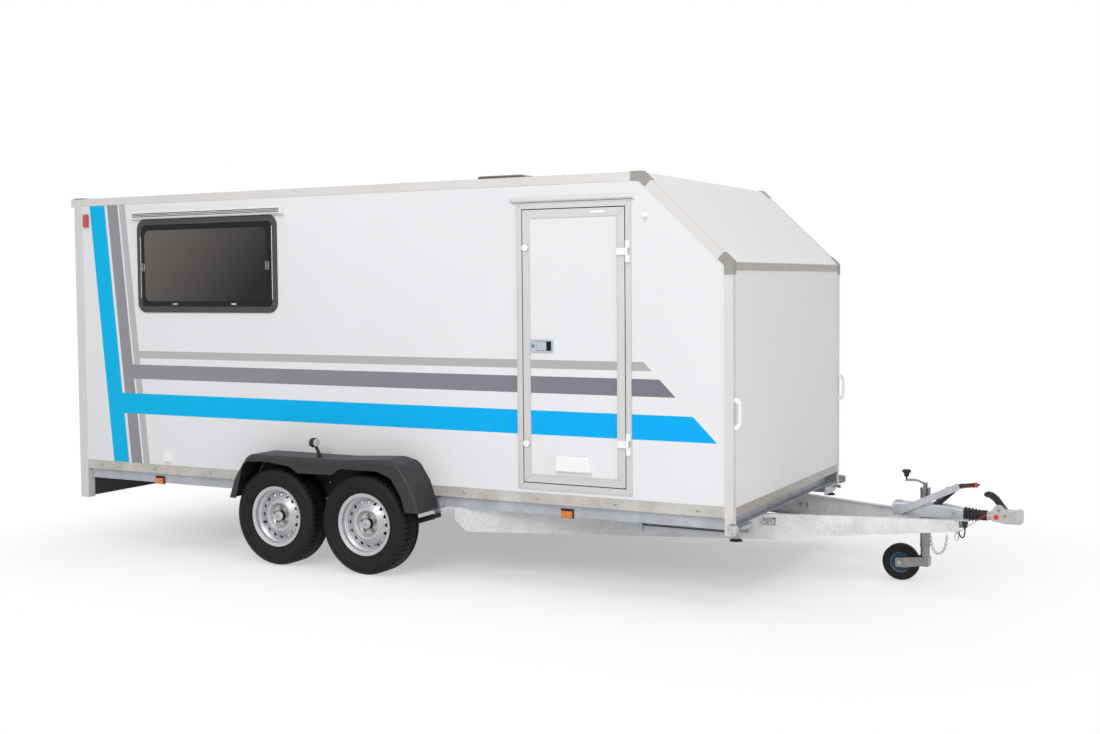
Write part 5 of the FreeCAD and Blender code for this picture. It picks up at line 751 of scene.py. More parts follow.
class Solid:
    """Gathers closed forms in one mesh and makes one piece of them."""

    def __init__(self, name: str) -> None:
        """Start an empty piece.

        Args:
            name: The piece's name.
        """
        self.name = name
        self.points: list[Vector] = []
        self.faces: list[tuple[int, ...]] = []
        self.paints: list[Paint] = []

    def add(self, points: Iterable[Sequence[float]], faces: Iterable[Sequence[int]], paint: Paint) -> Solid:
        """Add points and faces in one finish.

        Args:
            points: The form's points.
            faces: Its faces, by the points' places in that list.
            paint: Their finish.

        Returns:
            This piece.
        """
        first = len(self.points)
        self.points += [Vector(point) for point in points]
        for face in faces:
            self.faces.append(tuple(first + index for index in face))
            self.paints.append(paint)
        return self

    def box(self, low: Sequence[float], high: Sequence[float], paint: Paint, turn: Matrix | None = None) -> Solid:
        """Add a box between two corners, turned about its middle if asked.

        Args:
            low: Its lowest corner.
            high: Its highest corner.
            paint: Its finish.
            turn: A rotation about its middle.

        Returns:
            This piece.
        """
        corners = [Vector((x, y, z)) for x in (low[0], high[0]) for y in (low[1], high[1]) for z in (low[2], high[2])]
        middle = (Vector(low) + Vector(high)) / 2
        if turn is not None:
            corners = [middle + turn @ (corner - middle) for corner in corners]
        faces = [(0, 1, 3, 2), (4, 6, 7, 5), (0, 4, 5, 1), (2, 3, 7, 6), (0, 2, 6, 4), (1, 5, 7, 3)]
        return self.add(corners, faces, paint)

    def lathe(self, profile: Sequence[Flat], centre: Sequence[float], axis: Sequence[float], paint: Paint,
              steps: int = 32) -> Solid:
        """Turn a profile of radius and height pairs about an axis; a zero radius closes it in a point.

        Args:
            profile: Radius and height pairs from one end to the other, or round a ring.
            centre: The point at height zero.
            axis: The axis's direction.
            paint: The finish.
            steps: How many sides the round gets.

        Returns:
            This piece.
        """
        turn = Vector(axis).to_track_quat("Z", "Y").to_matrix()
        points: list[Vector] = []
        rows: list[list[int]] = []
        for radius, height in profile:
            count = steps if radius > 1e-7 else 1
            rows.append(list(range(len(points), len(points) + count)))
            for step in range(count):
                angle = 2 * math.pi * step / steps
                spot = Vector((radius * math.cos(angle), radius * math.sin(angle), height))
                points.append(Vector(centre) + turn @ spot)
        closed = profile[0][0] > 1e-7 and profile[-1][0] > 1e-7
        pairs = list(zip(rows, rows[1:])) + ([(rows[-1], rows[0])] if closed else [])
        faces: list[tuple[int, ...]] = []
        for near, far in ((one, two) for one, two in pairs if len(one) + len(two) > 2):
            for step in range(steps):
                after = (step + 1) % steps
                ring = [near[step % len(near)], near[after % len(near)], far[after % len(far)], far[step % len(far)]]
                faces.append(tuple(dict.fromkeys(ring)))
        return self.add(points, faces, paint)

    def rod(self, start: Sequence[float], end: Sequence[float], radius: float, paint: Paint,
            steps: int = 16) -> Solid:
        """Add a round bar between two points."""
        run = Vector(end) - Vector(start)
        shape = [(0.0, 0.0), (radius, 0.0), (radius, run.length), (0.0, run.length)]
        return self.lathe(shape, start, run, paint, steps)

    def bolt(self, foot: Sequence[float], axis: Sequence[float], radius: float, height: float,
             paint: Paint) -> Solid:
        """Add a six-sided bolt head on a washer.

        Args:
            foot: Where the washer sits.
            axis: Which way the bolt points.
            radius: The head's radius across its corners.
            height: The height of washer and head.
            paint: The finish.

        Returns:
            This piece.
        """
        washer = height * 0.22
        self.lathe([(0.0, 0.0), (radius * 1.35, 0.0), (radius * 1.35, washer), (0.0, washer)], foot, axis, paint, 20)
        head = [(0.0, washer), (radius, washer), (radius, height * 0.9), (radius * 0.85, height), (0.0, height)]
        return self.lathe(head, foot, axis, paint, 6)

    def prism(self, outline: Sequence[Flat], low: float, high: float, paint: Paint, axis: str = "Y") -> Solid:
        """Add a plate from its outline, across the caravan, along it or upright.

        Args:
            outline: The outline's points in the plane across the axis.
            low: Where the plate starts along the axis.
            high: Where it ends.
            paint: The finish.
            axis: X, Y or Z.

        Returns:
            This piece.
        """
        order = {"X": lambda a, b, c: (c, a, b), "Y": lambda a, b, c: (a, c, b), "Z": lambda a, b, c: (a, b, c)}[axis]
        count = len(outline)
        points = [order(a, b, end) for end in (low, high) for a, b in outline]
        faces: list[Sequence[int]] = [list(range(count)), list(range(2 * count - 1, count - 1, -1))]
        faces += [(i, (i + 1) % count, (i + 1) % count + count, i + count) for i in range(count)]
        return self.add(points, faces, paint)

    def mesh(self) -> bpy.types.Mesh:
        """Make the mesh: doubles merged, faces outward, its finishes on its faces.

        Returns:
            The mesh.
        """
        mesh = bpy.data.meshes.new(self.name)
        mesh.from_pydata(self.points, [], self.faces)
        order = list(dict.fromkeys(self.paints))
        for paint in order:
            mesh.materials.append(paint.material)
        for polygon, paint in zip(mesh.polygons, self.paints):
            polygon.material_index = order.index(paint)
        tidy(mesh)
        return mesh

    def build(self, body: str, slot: str, replaced: Sequence[str] = (), bevel: float = 0.0) -> Thing:
        """Make the piece and fasten it to its body.

        Args:
            body: The body that it rides on.
            slot: Not used.
            replaced: The nodes that it stands for.
            bevel: The width of its rounded edges in metres.

        Returns:
            The piece.
        """
        return fasten(self.name, self.mesh(), body, replaced, bevel)


def tidy(mesh: bpy.types.Mesh, smooth_to: float = 34.0) -> None:
    """Merge doubles, turn the faces outward and smooth the soft edges.

    Args:
        mesh: The mesh to tidy.
        smooth_to: The largest angle in degrees between faces that still look round.
    """
    work = bmesh.new()
    work.from_mesh(mesh)
    bmesh.ops.remove_doubles(work, verts=work.verts, dist=1e-6)
    bmesh.ops.recalc_face_normals(work, faces=work.faces)
    work.to_mesh(mesh)
    work.free()
    mesh.shade_smooth()
    mesh.set_sharp_from_angle(angle=math.radians(smooth_to))


def fasten(name: str, mesh: bpy.types.Mesh, body: str, replaced: Sequence[str] = (),
           bevel: float = 0.0) -> Thing:
    """Put a mesh in the scene as a piece that rides on a body.

    Args:
        name: The piece's name.
        mesh: Its mesh, in place.
        body: The body that it rides on.
        replaced: The nodes that it stands for.
        bevel: The width of its rounded edges in metres.

    Returns:
        The piece.
    """
    piece = stand(name, mesh)
    if bevel:
        modifier = piece.modifiers.new("edges", "BEVEL")
        modifier.width = bevel
        modifier.segments = 2
        modifier.limit_method = "ANGLE"
    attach(piece, body)
    if replaced:
        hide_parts(*replaced)
    LOG.info("%s: %d faces", name, len(mesh.polygons))
    return piece


# Geometry Nodes that repeat one form round an axis, along a line or along a path


class Pattern(Tree):
    """A Geometry Nodes tree that repeats one small form, with named sizes."""

    def __init__(self, name: str, form: bpy.types.Mesh, paint: Paint) -> None:
        """Start the tree with the form that it repeats.

        Args:
            name: The pattern's name.
            form: The small form, in its own place.
            paint: The finish of all its copies.
        """
        self.name = name
        self.paint = paint
        super().__init__(bpy.data.node_groups.new(name, "GeometryNodeTree"))
        self.tree.interface.new_socket("Geometry", in_out="OUTPUT", socket_type="NodeSocketGeometry")
        self.given = self.tree.nodes.new("NodeGroupInput")
        self.values: dict[str, object] = {}
        self.helpers = [stand(f"{name}_form", form)]
        shown = self.node("GeometryNodeObjectInfo", {"Object": self.size("Form", self.helpers[0], "Object")})
        self.form = shown.outputs["Geometry"]

    def size(self, name: str, value: object, kind: str = "Float") -> Socket:
        """Add a named input to the tree and keep its value for the modifier."""
        socket = self.tree.interface.new_socket(name, in_out="INPUT", socket_type=f"NodeSocket{kind}")
        self.values[socket.identifier] = value
        return self.given.outputs[name]

    def spread(self, points: Socket, turn: Socket | None, shift: Socket | None = None) -> bpy.types.Mesh:
        """Put the form on the points and return the result as a plain mesh.

        Args:
            points: The places of the copies.
            turn: The turn of each copy.
            shift: How far the whole moves at the end.

        Returns:
            The plain mesh.
        """
        copies = self.node("GeometryNodeInstanceOnPoints", {"Points": points, "Instance": self.form})
        if turn is not None:
            self.tree.links.new(turn, copies.inputs["Rotation"])
        whole = self.node("GeometryNodeRealizeInstances", {"Geometry": copies.outputs[0]}).outputs[0]
        if shift is not None:
            whole = self.node("GeometryNodeTransform", {"Geometry": whole, "Translation": shift}).outputs[0]
        dressed = self.node("GeometryNodeSetMaterial", {"Geometry": whole, "Material": self.paint.material})
        self.node("NodeGroupOutput", {0: dressed.outputs[0]})
        host = stand(self.name, bpy.data.meshes.new(self.name))
        modifier = host.modifiers.new("pattern", "NODES")
        modifier.node_group = self.tree
        for identifier, value in self.values.items():
            modifier[identifier] = value
        evaluated = host.evaluated_get(bpy.context.evaluated_depsgraph_get())
        mesh = bpy.data.meshes.new_from_object(evaluated)
        host.modifiers.remove(modifier)
        for item in [host, *self.helpers]:
            bpy.data.objects.remove(item)
        tidy(mesh)
        return mesh


def ring(name: str, form: Solid, count: int, centre: Point, axis: Point = (0.0, 1.0, 0.0)) -> bpy.types.Mesh:
    """Repeat a form round an axis; the form lies at its own distance from the axis through the origin.

    Args:
        name: The pattern's name.
        form: The form, all in one finish.
        count: How many copies there are.
        centre: The point that the axis goes through.
        axis: The axis's direction, along X, Y or Z.

    Returns:
        The plain mesh.
    """
    pattern = Pattern(name, form.mesh(), form.paints[0])
    points = pattern.node("GeometryNodeMeshLine", {"Count": pattern.size("Count", count, "Int"),
                                                   "Offset": (0.0, 0.0, 0.0)}, mode="OFFSET").outputs[0]
    step = pattern.math("DIVIDE", math.tau, pattern.size("Steps", float(count)))
    angle = pattern.math("MULTIPLY", pattern.node("GeometryNodeInputIndex", {}).outputs[0], step)
    turn = pattern.node("ShaderNodeVectorMath", {0: axis, "Scale": angle}, operation="SCALE").outputs[0]
    return pattern.spread(points, turn, pattern.size("Centre", centre, "Vector"))


def row(name: str, form: Solid, count: int, start: Point, end: Point) -> bpy.types.Mesh:
    """Repeat a form along a line; the form lies at the origin.

    Args:
        name: The pattern's name.
        form: The form, all in one finish.
        count: How many copies there are.
        start: The first copy's place.
        end: The last copy's place.

    Returns:
        The plain mesh.
    """
    pattern = Pattern(name, form.mesh(), form.paints[0])
    ends = {"Count": pattern.size("Count", count, "Int"), "Start Location": pattern.size("Start", start, "Vector"),
            "Offset": pattern.size("End", end, "Vector")}
    return pattern.spread(pattern.node("GeometryNodeMeshLine", ends, mode="END_POINTS").outputs[0], None)


def chain(name: str, form: Solid, places: Sequence[Point], twist: float) -> bpy.types.Mesh:
    """Repeat a form along a path, every second copy twisted about the path.

    Args:
        name: The pattern's name.
        form: The form, all in one finish, with its length along Z.
        places: The copies' places in order.
        twist: The turn of every second copy in degrees.

    Returns:
        The plain mesh.
    """
    pattern = Pattern(name, form.mesh(), form.paints[0])
    pattern.helpers.append(stand(f"{name}_path", path_curve(f"{name}_path", "POLY", places)))
    path = pattern.node("GeometryNodeObjectInfo",
                        {"Object": pattern.size("Path", pattern.helpers[-1], "Object")}).outputs["Geometry"]
    points = pattern.node("GeometryNodeCurveToPoints", {"Curve": path}, mode="EVALUATED")
    second = pattern.math("MODULO", pattern.node("GeometryNodeInputIndex", {}).outputs[0], 2.0)
    angle = pattern.math("MULTIPLY", second, pattern.size("Twist", math.radians(twist)))
    spin = pattern.node("ShaderNodeCombineXYZ", {2: angle}).outputs[0]
    turn = pattern.node("FunctionNodeRotateRotation", {"Rotation": points.outputs["Rotation"], "Rotate By": spin},
                        rotation_space="LOCAL").outputs[0]
    return pattern.spread(points.outputs["Points"], turn)


# Cables and chain at the drawbar


@dataclass(frozen=True)
class Cable:
    """A free cable: one smooth line along its route, with a round section."""

    name: str
    node: str
    route: tuple[Point, ...]
    diameter: float
    length: float
    paint: Paint
    slot: str
    far_end: str
    lay: str
    stiffness: str = "medium"
    carried: tuple[str, ...] = ()

    def build(self) -> None:
        curve = path_curve(self.name, "NURBS", self.route)
        curve.resolution_u = 12
        curve.bevel_depth = self.diameter / 2
        curve.bevel_resolution = 5
        curve.use_fill_caps = True
        curve.splines[0].order_u = 3
        curve.splines[0].use_endpoint_u = True
        curve.materials.append(self.paint.material)
        piece = stand(self.name, curve)
        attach(piece, Body.ROOT.value)
        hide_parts(self.node)
        LOG.info("%s: %.3f m long", self.name, self.length)


CABLES: tuple[Cable, ...] = (
    Cable("lighting_cable", "trailer_cable",
          ((2.8385, 0.0, 0.369), (2.8385, 0.0, 0.344), (2.84539, -0.01066, 0.321), (2.857315, -0.02911, 0.308),
           (2.872685, -0.05289, 0.308), (2.88461, -0.07134, 0.321), (2.8915, -0.082, 0.344),
           (2.8915, -0.082, 0.369)),
          0.008, 0.179, Paint.CABLE, "cable_black", "plug", "hanging", carried=("cable_ends",)),
    Cable("brake_cable", "breakaway_cable",
          ((3.0171, -0.0360, 0.4621), (2.99782, -0.03836, 0.44806), (2.86610, -0.05479, 0.35206),
           (2.84678, -0.05716, 0.338)),
          0.004, 0.212, Paint.WIRE, "cable_red", "object", "taut", stiffness="stiff"),
)


def sweep(solid: Solid, path: Sequence[Sequence[float]], radius: float, paint: Paint, closed: bool = False,
          sides: int = 8) -> None:
    """Add a round wire along a path.

    Args:
        solid: The piece that gets the wire.
        path: The wire's middle line.
        radius: The wire's radius.
        paint: The finish.
        closed: Whether the path ends where it starts.
        sides: How many sides the wire's section gets.
    """
    spots = [Vector(point) for point in path]
    count = len(spots)
    points: list[Vector] = []
    across: Vector | None = None
    for index, spot in enumerate(spots):
        before = spots[index - 1] if closed or index else spot
        after = spots[(index + 1) % count] if closed or index < count - 1 else spot
        ahead = (after - before).normalized()
        if across is None:
            across = ahead.orthogonal().normalized()
        across = (across - ahead * across.dot(ahead)).normalized()
        other = ahead.cross(across)
        points += [spot + (across * math.cos(turn) + other * math.sin(turn)) * radius
                   for turn in (math.tau * side / sides for side in range(sides))]
    faces: list[tuple[int, ...]] = []
    for index in range(count if closed else count - 1):
        near, far = index * sides, (index + 1) % count * sides
        faces += [(near + side, near + (side + 1) % sides, far + (side + 1) % sides, far + side)
                  for side in range(sides)]
    if not closed:
        faces += [tuple(reversed(range(sides))), tuple(range((count - 1) * sides, count * sides))]
    solid.add(points, faces, paint)


def oval(centre: Vector, along: Vector, across: Vector, length: float, width: float, steps: int = 8) -> list[Vector]:
    """Return the middle line of a long ring with round ends.

    Args:
        centre: Its middle.
        along: The direction of its length.
        across: The direction of its width.
        length: Its length between the middles of the wire's ends.
        width: Its width between the middles of the wire's sides.
        steps: How many steps each round end gets.

    Returns:
        The line's points.
    """
    radius = width / 2
    reach = length / 2 - radius
    line: list[Vector] = []
    for end in (1, -1):
        for step in range(steps + 1):
            turn = math.pi * step / steps
            line.append(centre + along * end * (reach + radius * math.sin(turn))
                        + across * end * radius * math.cos(turn))
    return line


@dataclass(frozen=True)
class SafetyChain:
    """The chain that hangs in a loop under the right drawbar beam, and the snap hook in front of it."""

    start: float = -0.157
    offset: float = 0.0175
    top: float = 0.3276
    pitch: float = 0.0156
    link_length: float = 0.0222
    link_width: float = 0.0118
    wire: float = 0.0019
    slopes: tuple[int, ...] = (88, 86, 82, 78, 74, 68, 58, 34, 0, -34, -58, -68, -74, -78, -82, -86, -88)
    hook: Point = (-0.008, 0.027, 0.313)
    hook_length: float = 0.041
    hook_width: float = 0.021
    hook_wire: float = 0.0025

    def spot(self, along: float, across: float, height: float) -> Vector:
        """Return the place of a point of the right beam's own frame."""
        turn = math.radians(BEAM_TURN)
        return Vector((BEAM_TIP[0] - FRAME.middle + along * math.cos(turn) - across * math.sin(turn),
                       along * math.sin(turn) + across * math.cos(turn) - BEAM_TIP[1], height))

    def places(self) -> list[Vector]:
        """Return the middles of the links in order."""
        along, height = self.start, self.top
        found: list[Vector] = []
        for slope in self.slopes:
            run, fall = (self.pitch * part(math.radians(slope)) for part in (math.cos, math.sin))
            found.append(self.spot(along + run / 2, self.offset, height - fall / 2))
            along, height = along + run, height - fall
        return found

    def build(self) -> None:
        """Make the links, the snap hook and its lug."""
        link = Solid("chain_link")
        line = oval(Vector(), Vector((0, 0, 1)), Vector((1, 0, 0)), self.link_length, self.link_width)
        sweep(link, line, self.wire, Paint.BOLT, closed=True)
        mesh = chain("safety_chain_links", link, [tuple(place) for place in self.places()], 90.0)
        fasten("safety_chain_links", mesh, Body.ROOT.value, ("safety_chain",))
        hook = Solid("snap_hook")
        centre = self.spot(*self.hook)
        along, across = Vector((0, 0, 1)), (self.spot(1, 0, 0) - self.spot(0, 0, 0)).normalized()
        sweep(hook, oval(centre, along, across, self.hook_length, self.hook_width), self.hook_wire, Paint.BOLT,
              closed=True, sides=10)
        gate = centre + across * self.hook_width / 2
        hook.rod(gate - along * 0.006, gate + along * 0.006, 0.0039, Paint.BOLT, 12)
        hook.rod(gate - along * 0.011, gate - along * 0.009, 0.0035, Paint.BOLT, 12)
        top = centre + along * (self.hook_length / 2 + 0.001)
        hook.box(top - Vector((0.006, 0.0025, 0.0)), top + Vector((0.006, 0.0025, 0.02)), Paint.ZINC)
        hook.build(Body.ROOT.value, "galvanised")


# Road wheels


@dataclass(frozen=True)
class RoadWheel:
    """One road wheel's tyre with its tread, its wheel bolts and its valve."""

    axle: str
    side: Side
    centre_x: float
    radius: float = 0.3148
    lug_count: int = 54
    bolt_circle: float = 0.0505
    vent_circle: float = 0.1375
    vent_radius: float = 0.0112
    vent_depths: Flat = (0.008, 0.046)
    vent_count: int = 16
    bolt_count: int = 5
    face: float = 0.0195
    valve_circle: float = 0.152
    valve_lean: float = 0.35

    WALL: ClassVar[tuple[Flat, ...]] = (
        (0.1780, 0.0450), (0.1780, 0.0669), (0.1950, 0.0712), (0.2002, 0.0762), (0.2045, 0.0815), (0.2085, 0.0833),
        (0.2115, 0.0828), (0.2125, 0.0819), (0.2140, 0.0832), (0.2230, 0.0872), (0.2245, 0.0886), (0.2262, 0.0882),
        (0.2394, 0.0918), (0.2520, 0.0958), (0.2534, 0.0969), (0.2552, 0.0966), (0.2677, 0.0974), (0.2790, 0.0965),
        (0.2805, 0.0972), (0.2822, 0.0960), (0.2925, 0.0922), (0.3000, 0.0878), (0.3045, 0.0825), (0.3062, 0.0775),
        (0.3068, 0.0480))
    RIM: ClassVar[tuple[Flat, ...]] = (
        (0.1950, -0.0760), (0.1950, -0.0710), (0.1780, -0.0669), (0.1780, -0.0395), (0.1600, -0.0274),
        (0.1600, 0.0274), (0.1780, 0.0395), (0.1780, 0.0669), (0.1950, 0.0710), (0.1950, 0.0760),
        (0.1925, 0.0758), (0.1905, 0.0745), (0.1760, 0.0715), (0.1735, 0.0699), (0.1730, 0.0660), (0.1730, 0.0441),
        (0.1715, 0.0425), (0.1560, 0.0325), (0.1545, 0.0300), (0.1515, 0.0195), (0.1500, 0.0182),
        (0.1475, 0.0198), (0.1050, 0.0410), (0.1010, 0.0452), (0.0975, 0.0485), (0.0950, 0.0494),
        (0.0900, 0.0495), (0.0850, 0.0479), (0.0820, 0.0445), (0.0730, 0.0304), (0.0700, 0.0262),
        (0.0630, 0.0213), (0.0370, 0.0182), (0.0345, 0.0190), (0.0322, 0.0220), (0.0320, 0.0471),
        (0.0300, 0.0520), (0.0256, 0.0562), (0.0128, 0.0593), (0.0, 0.0593), (0.0, 0.0150), (0.0200, 0.0150),
        (0.0200, -0.0250), (0.1150, -0.0250), (0.1150, 0.0061), (0.1285, 0.0213), (0.1475, 0.0137),
        (0.1550, 0.0106), (0.1550, -0.0258), (0.1730, -0.0380), (0.1730, -0.0699))
    GROOVE: ClassVar[tuple[Flat, ...]] = ((0.3068, 0.0170), (0.3068, 0.0145), (0.3146, 0.0135))

    @property
    def name(self) -> str:
        """Return the wheel's name as its nodes use it."""
        return f"{self.axle}_{self.side.word}"

    @property
    def body(self) -> str:
        """Return the body that the wheel's pieces ride on."""
        return f"wheel_{self.name}"

    @property
    def centre(self) -> Point:
        """Return the wheel's middle."""
        return (self.centre_x, self.side.value * FRAME.wheel_y, FRAME.wheel_z)

    @property
    def axis(self) -> Point:
        """Return the axle's direction outward."""
        return (0.0, float(self.side.value), 0.0)

    def rim(self) -> None:
        """Turn the wheel's rim and disc, pierce the ring of vent holes through the disc, and give the faces behind the
        disc and the vents' bores the drum's near-black as painted shade.
        """
        near, far = self.vent_depths
        rim = Solid(f"{self.name}_rim")
        rim.lathe(self.RIM, self.centre, self.axis, Paint.WHEEL, 96)
        drill = Solid(f"{self.name}_drill")
        drill.lathe([(0.0, near), (self.vent_radius, near), (self.vent_radius, far), (0.0, far)],
                    (0.0, 0.0, self.vent_circle), self.axis, Paint.DRUM, 20)
        drills = stand(drill.name, ring(drill.name, drill, self.vent_count, self.centre))
        host = stand(rim.name, rim.mesh())
        modifier = host.modifiers.new("vents", "BOOLEAN")
        modifier.object = drills
        modifier.solver = "EXACT"
        mesh = bpy.data.meshes.new_from_object(host.evaluated_get(bpy.context.evaluated_depsgraph_get()))
        for item in (host, drills):
            bpy.data.objects.remove(item)
        mesh.materials.clear()
        for paint in (Paint.WHEEL, Paint.DRUM):
            mesh.materials.append(paint.material)
        for polygon in mesh.polygons:
            spot = polygon.center - Vector(self.centre)
            reach, depth = math.hypot(spot.x, spot.z), spot.y * self.side.value
            # The drum, the rim's faces behind the disc and the vents' bores take near-black: the drum's own colour and
            # painted shade
            drum_and_shaded_backs = reach < 0.1565 and depth < 0.0145 and not (reach < 0.06 and depth > 0.0155)
            shaded_bore = abs(polygon.normal.y) < 0.3 and abs(reach - self.vent_circle) < self.vent_radius + 0.001
            polygon.material_index = 1 if drum_and_shaded_backs or (shaded_bore and near < depth < far) else 0
        tidy(mesh, 28.0)
        fasten(rim.name, mesh, self.body, (f"rim_{self.name}",))

    def carcass(self) -> None:
        """Turn the tyre's carcass, with its ridged side walls and the rib in its middle."""
        half = [*self.WALL, *self.GROOVE]
        profile = [(radius, reach) for radius, reach in half] + [(radius, -reach) for radius, reach in reversed(half)]
        tyre = Solid(f"{self.name}_carcass")
        tyre.lathe(profile, self.centre, (0.0, 1.0, 0.0), Paint.TYRE, 96)
        tyre.build(self.body, "tyre", (f"tyre_{self.name}",))

    def tread(self) -> None:
        """Repeat the tread blocks of both shoulders and both middle ribs round the tyre."""
        form = Solid(f"{self.name}_block")
        shoulder = [(0.0490, 0.3050), (0.0490, 0.3142), (0.0640, 0.3136), (0.0760, 0.3095), (0.0825, 0.3040),
                    (0.0800, 0.3020)]
        for sign in (1, -1):
            outline = [(sign * reach, height) for reach, height in shoulder]
            form.prism(outline, -0.0142, 0.0142, Paint.TYRE, "X")
            lean = sign * 0.006
            corners = [(x + shift, sign * y, z) for z in (0.305, 0.3142)
                       for x, y, shift in ((-0.0152, 0.018, 0.0), (0.0152, 0.018, 0.0), (0.0152, 0.0415, lean),
                                           (-0.0152, 0.0415, lean))]
            form.add(corners, [(3, 2, 1, 0), (4, 5, 6, 7), (0, 1, 5, 4), (1, 2, 6, 5), (2, 3, 7, 6), (3, 0, 4, 7)],
                     Paint.TYRE)
        mesh = ring(f"{self.name}_tread", form, self.lug_count, self.centre)
        fasten(f"{self.name}_tread", mesh, self.body)

    def bolts(self) -> None:
        """Repeat the wheel bolts round the hub, and add the valve and the cap's ring."""
        outward = self.side.value
        form = Solid(f"{self.name}_bolt")
        foot, axis = (0.0, outward * self.face, self.bolt_circle), self.axis
        form.lathe([(0.0, -0.002), (0.0125, -0.002), (0.0125, 0.003), (0.0100, 0.0055), (0.0, 0.0055)], foot, axis,
                   Paint.LUG, 18)
        form.lathe([(0.0, 0.004), (0.0098, 0.004), (0.0098, 0.0165), (0.0080, 0.0180), (0.0052, 0.0180),
                    (0.0048, 0.0150), (0.0, 0.0150)], foot, axis, Paint.LUG, 6)
        mesh = ring(f"{self.name}_bolts", form, self.bolt_count, self.centre)
        fasten(f"{self.name}_bolts", mesh, self.body)
        fittings = Solid(f"{self.name}_valve_and_cap")
        turn = math.radians(200 if self.axle == "rear" else 300)
        out = Vector((math.cos(turn), 0.0, math.sin(turn)))
        spot = Vector(self.centre) + out * self.valve_circle + Vector(axis) * 0.012
        ahead = Vector(axis) - out * self.valve_lean
        fittings.lathe([(0.0, -0.004), (0.0072, -0.004), (0.0062, 0.012), (0.0042, 0.022), (0.0042, 0.034),
                        (0.0034, 0.036), (0.0, 0.036)], spot, ahead, Paint.RUBBER, 16)
        fittings.lathe([(0.0322, 0.019), (0.0342, 0.019), (0.0342, 0.045), (0.0322, 0.046)], self.centre, axis,
                       Paint.DRUM, 32)
        fittings.lathe([(0.0, 0.0592), (0.010, 0.0592), (0.012, 0.0600), (0.0, 0.0604)], self.centre, axis,
                       Paint.BOLT, 24)
        fittings.build(self.body, "wheel_steel")

    def build(self) -> None:
        """Make the wheel's pieces."""
        self.rim()
        self.carcass()
        self.tread()
        self.bolts()


# Body, door and window fittings


# Half the outline of a round-headed bolt or rivet, from its foot
ROUND_HEAD: tuple[Flat, ...] = ((0.0, -0.001), (0.0062, -0.001), (0.0062, 0.0010), (0.0044, 0.0030), (0.0, 0.0036))


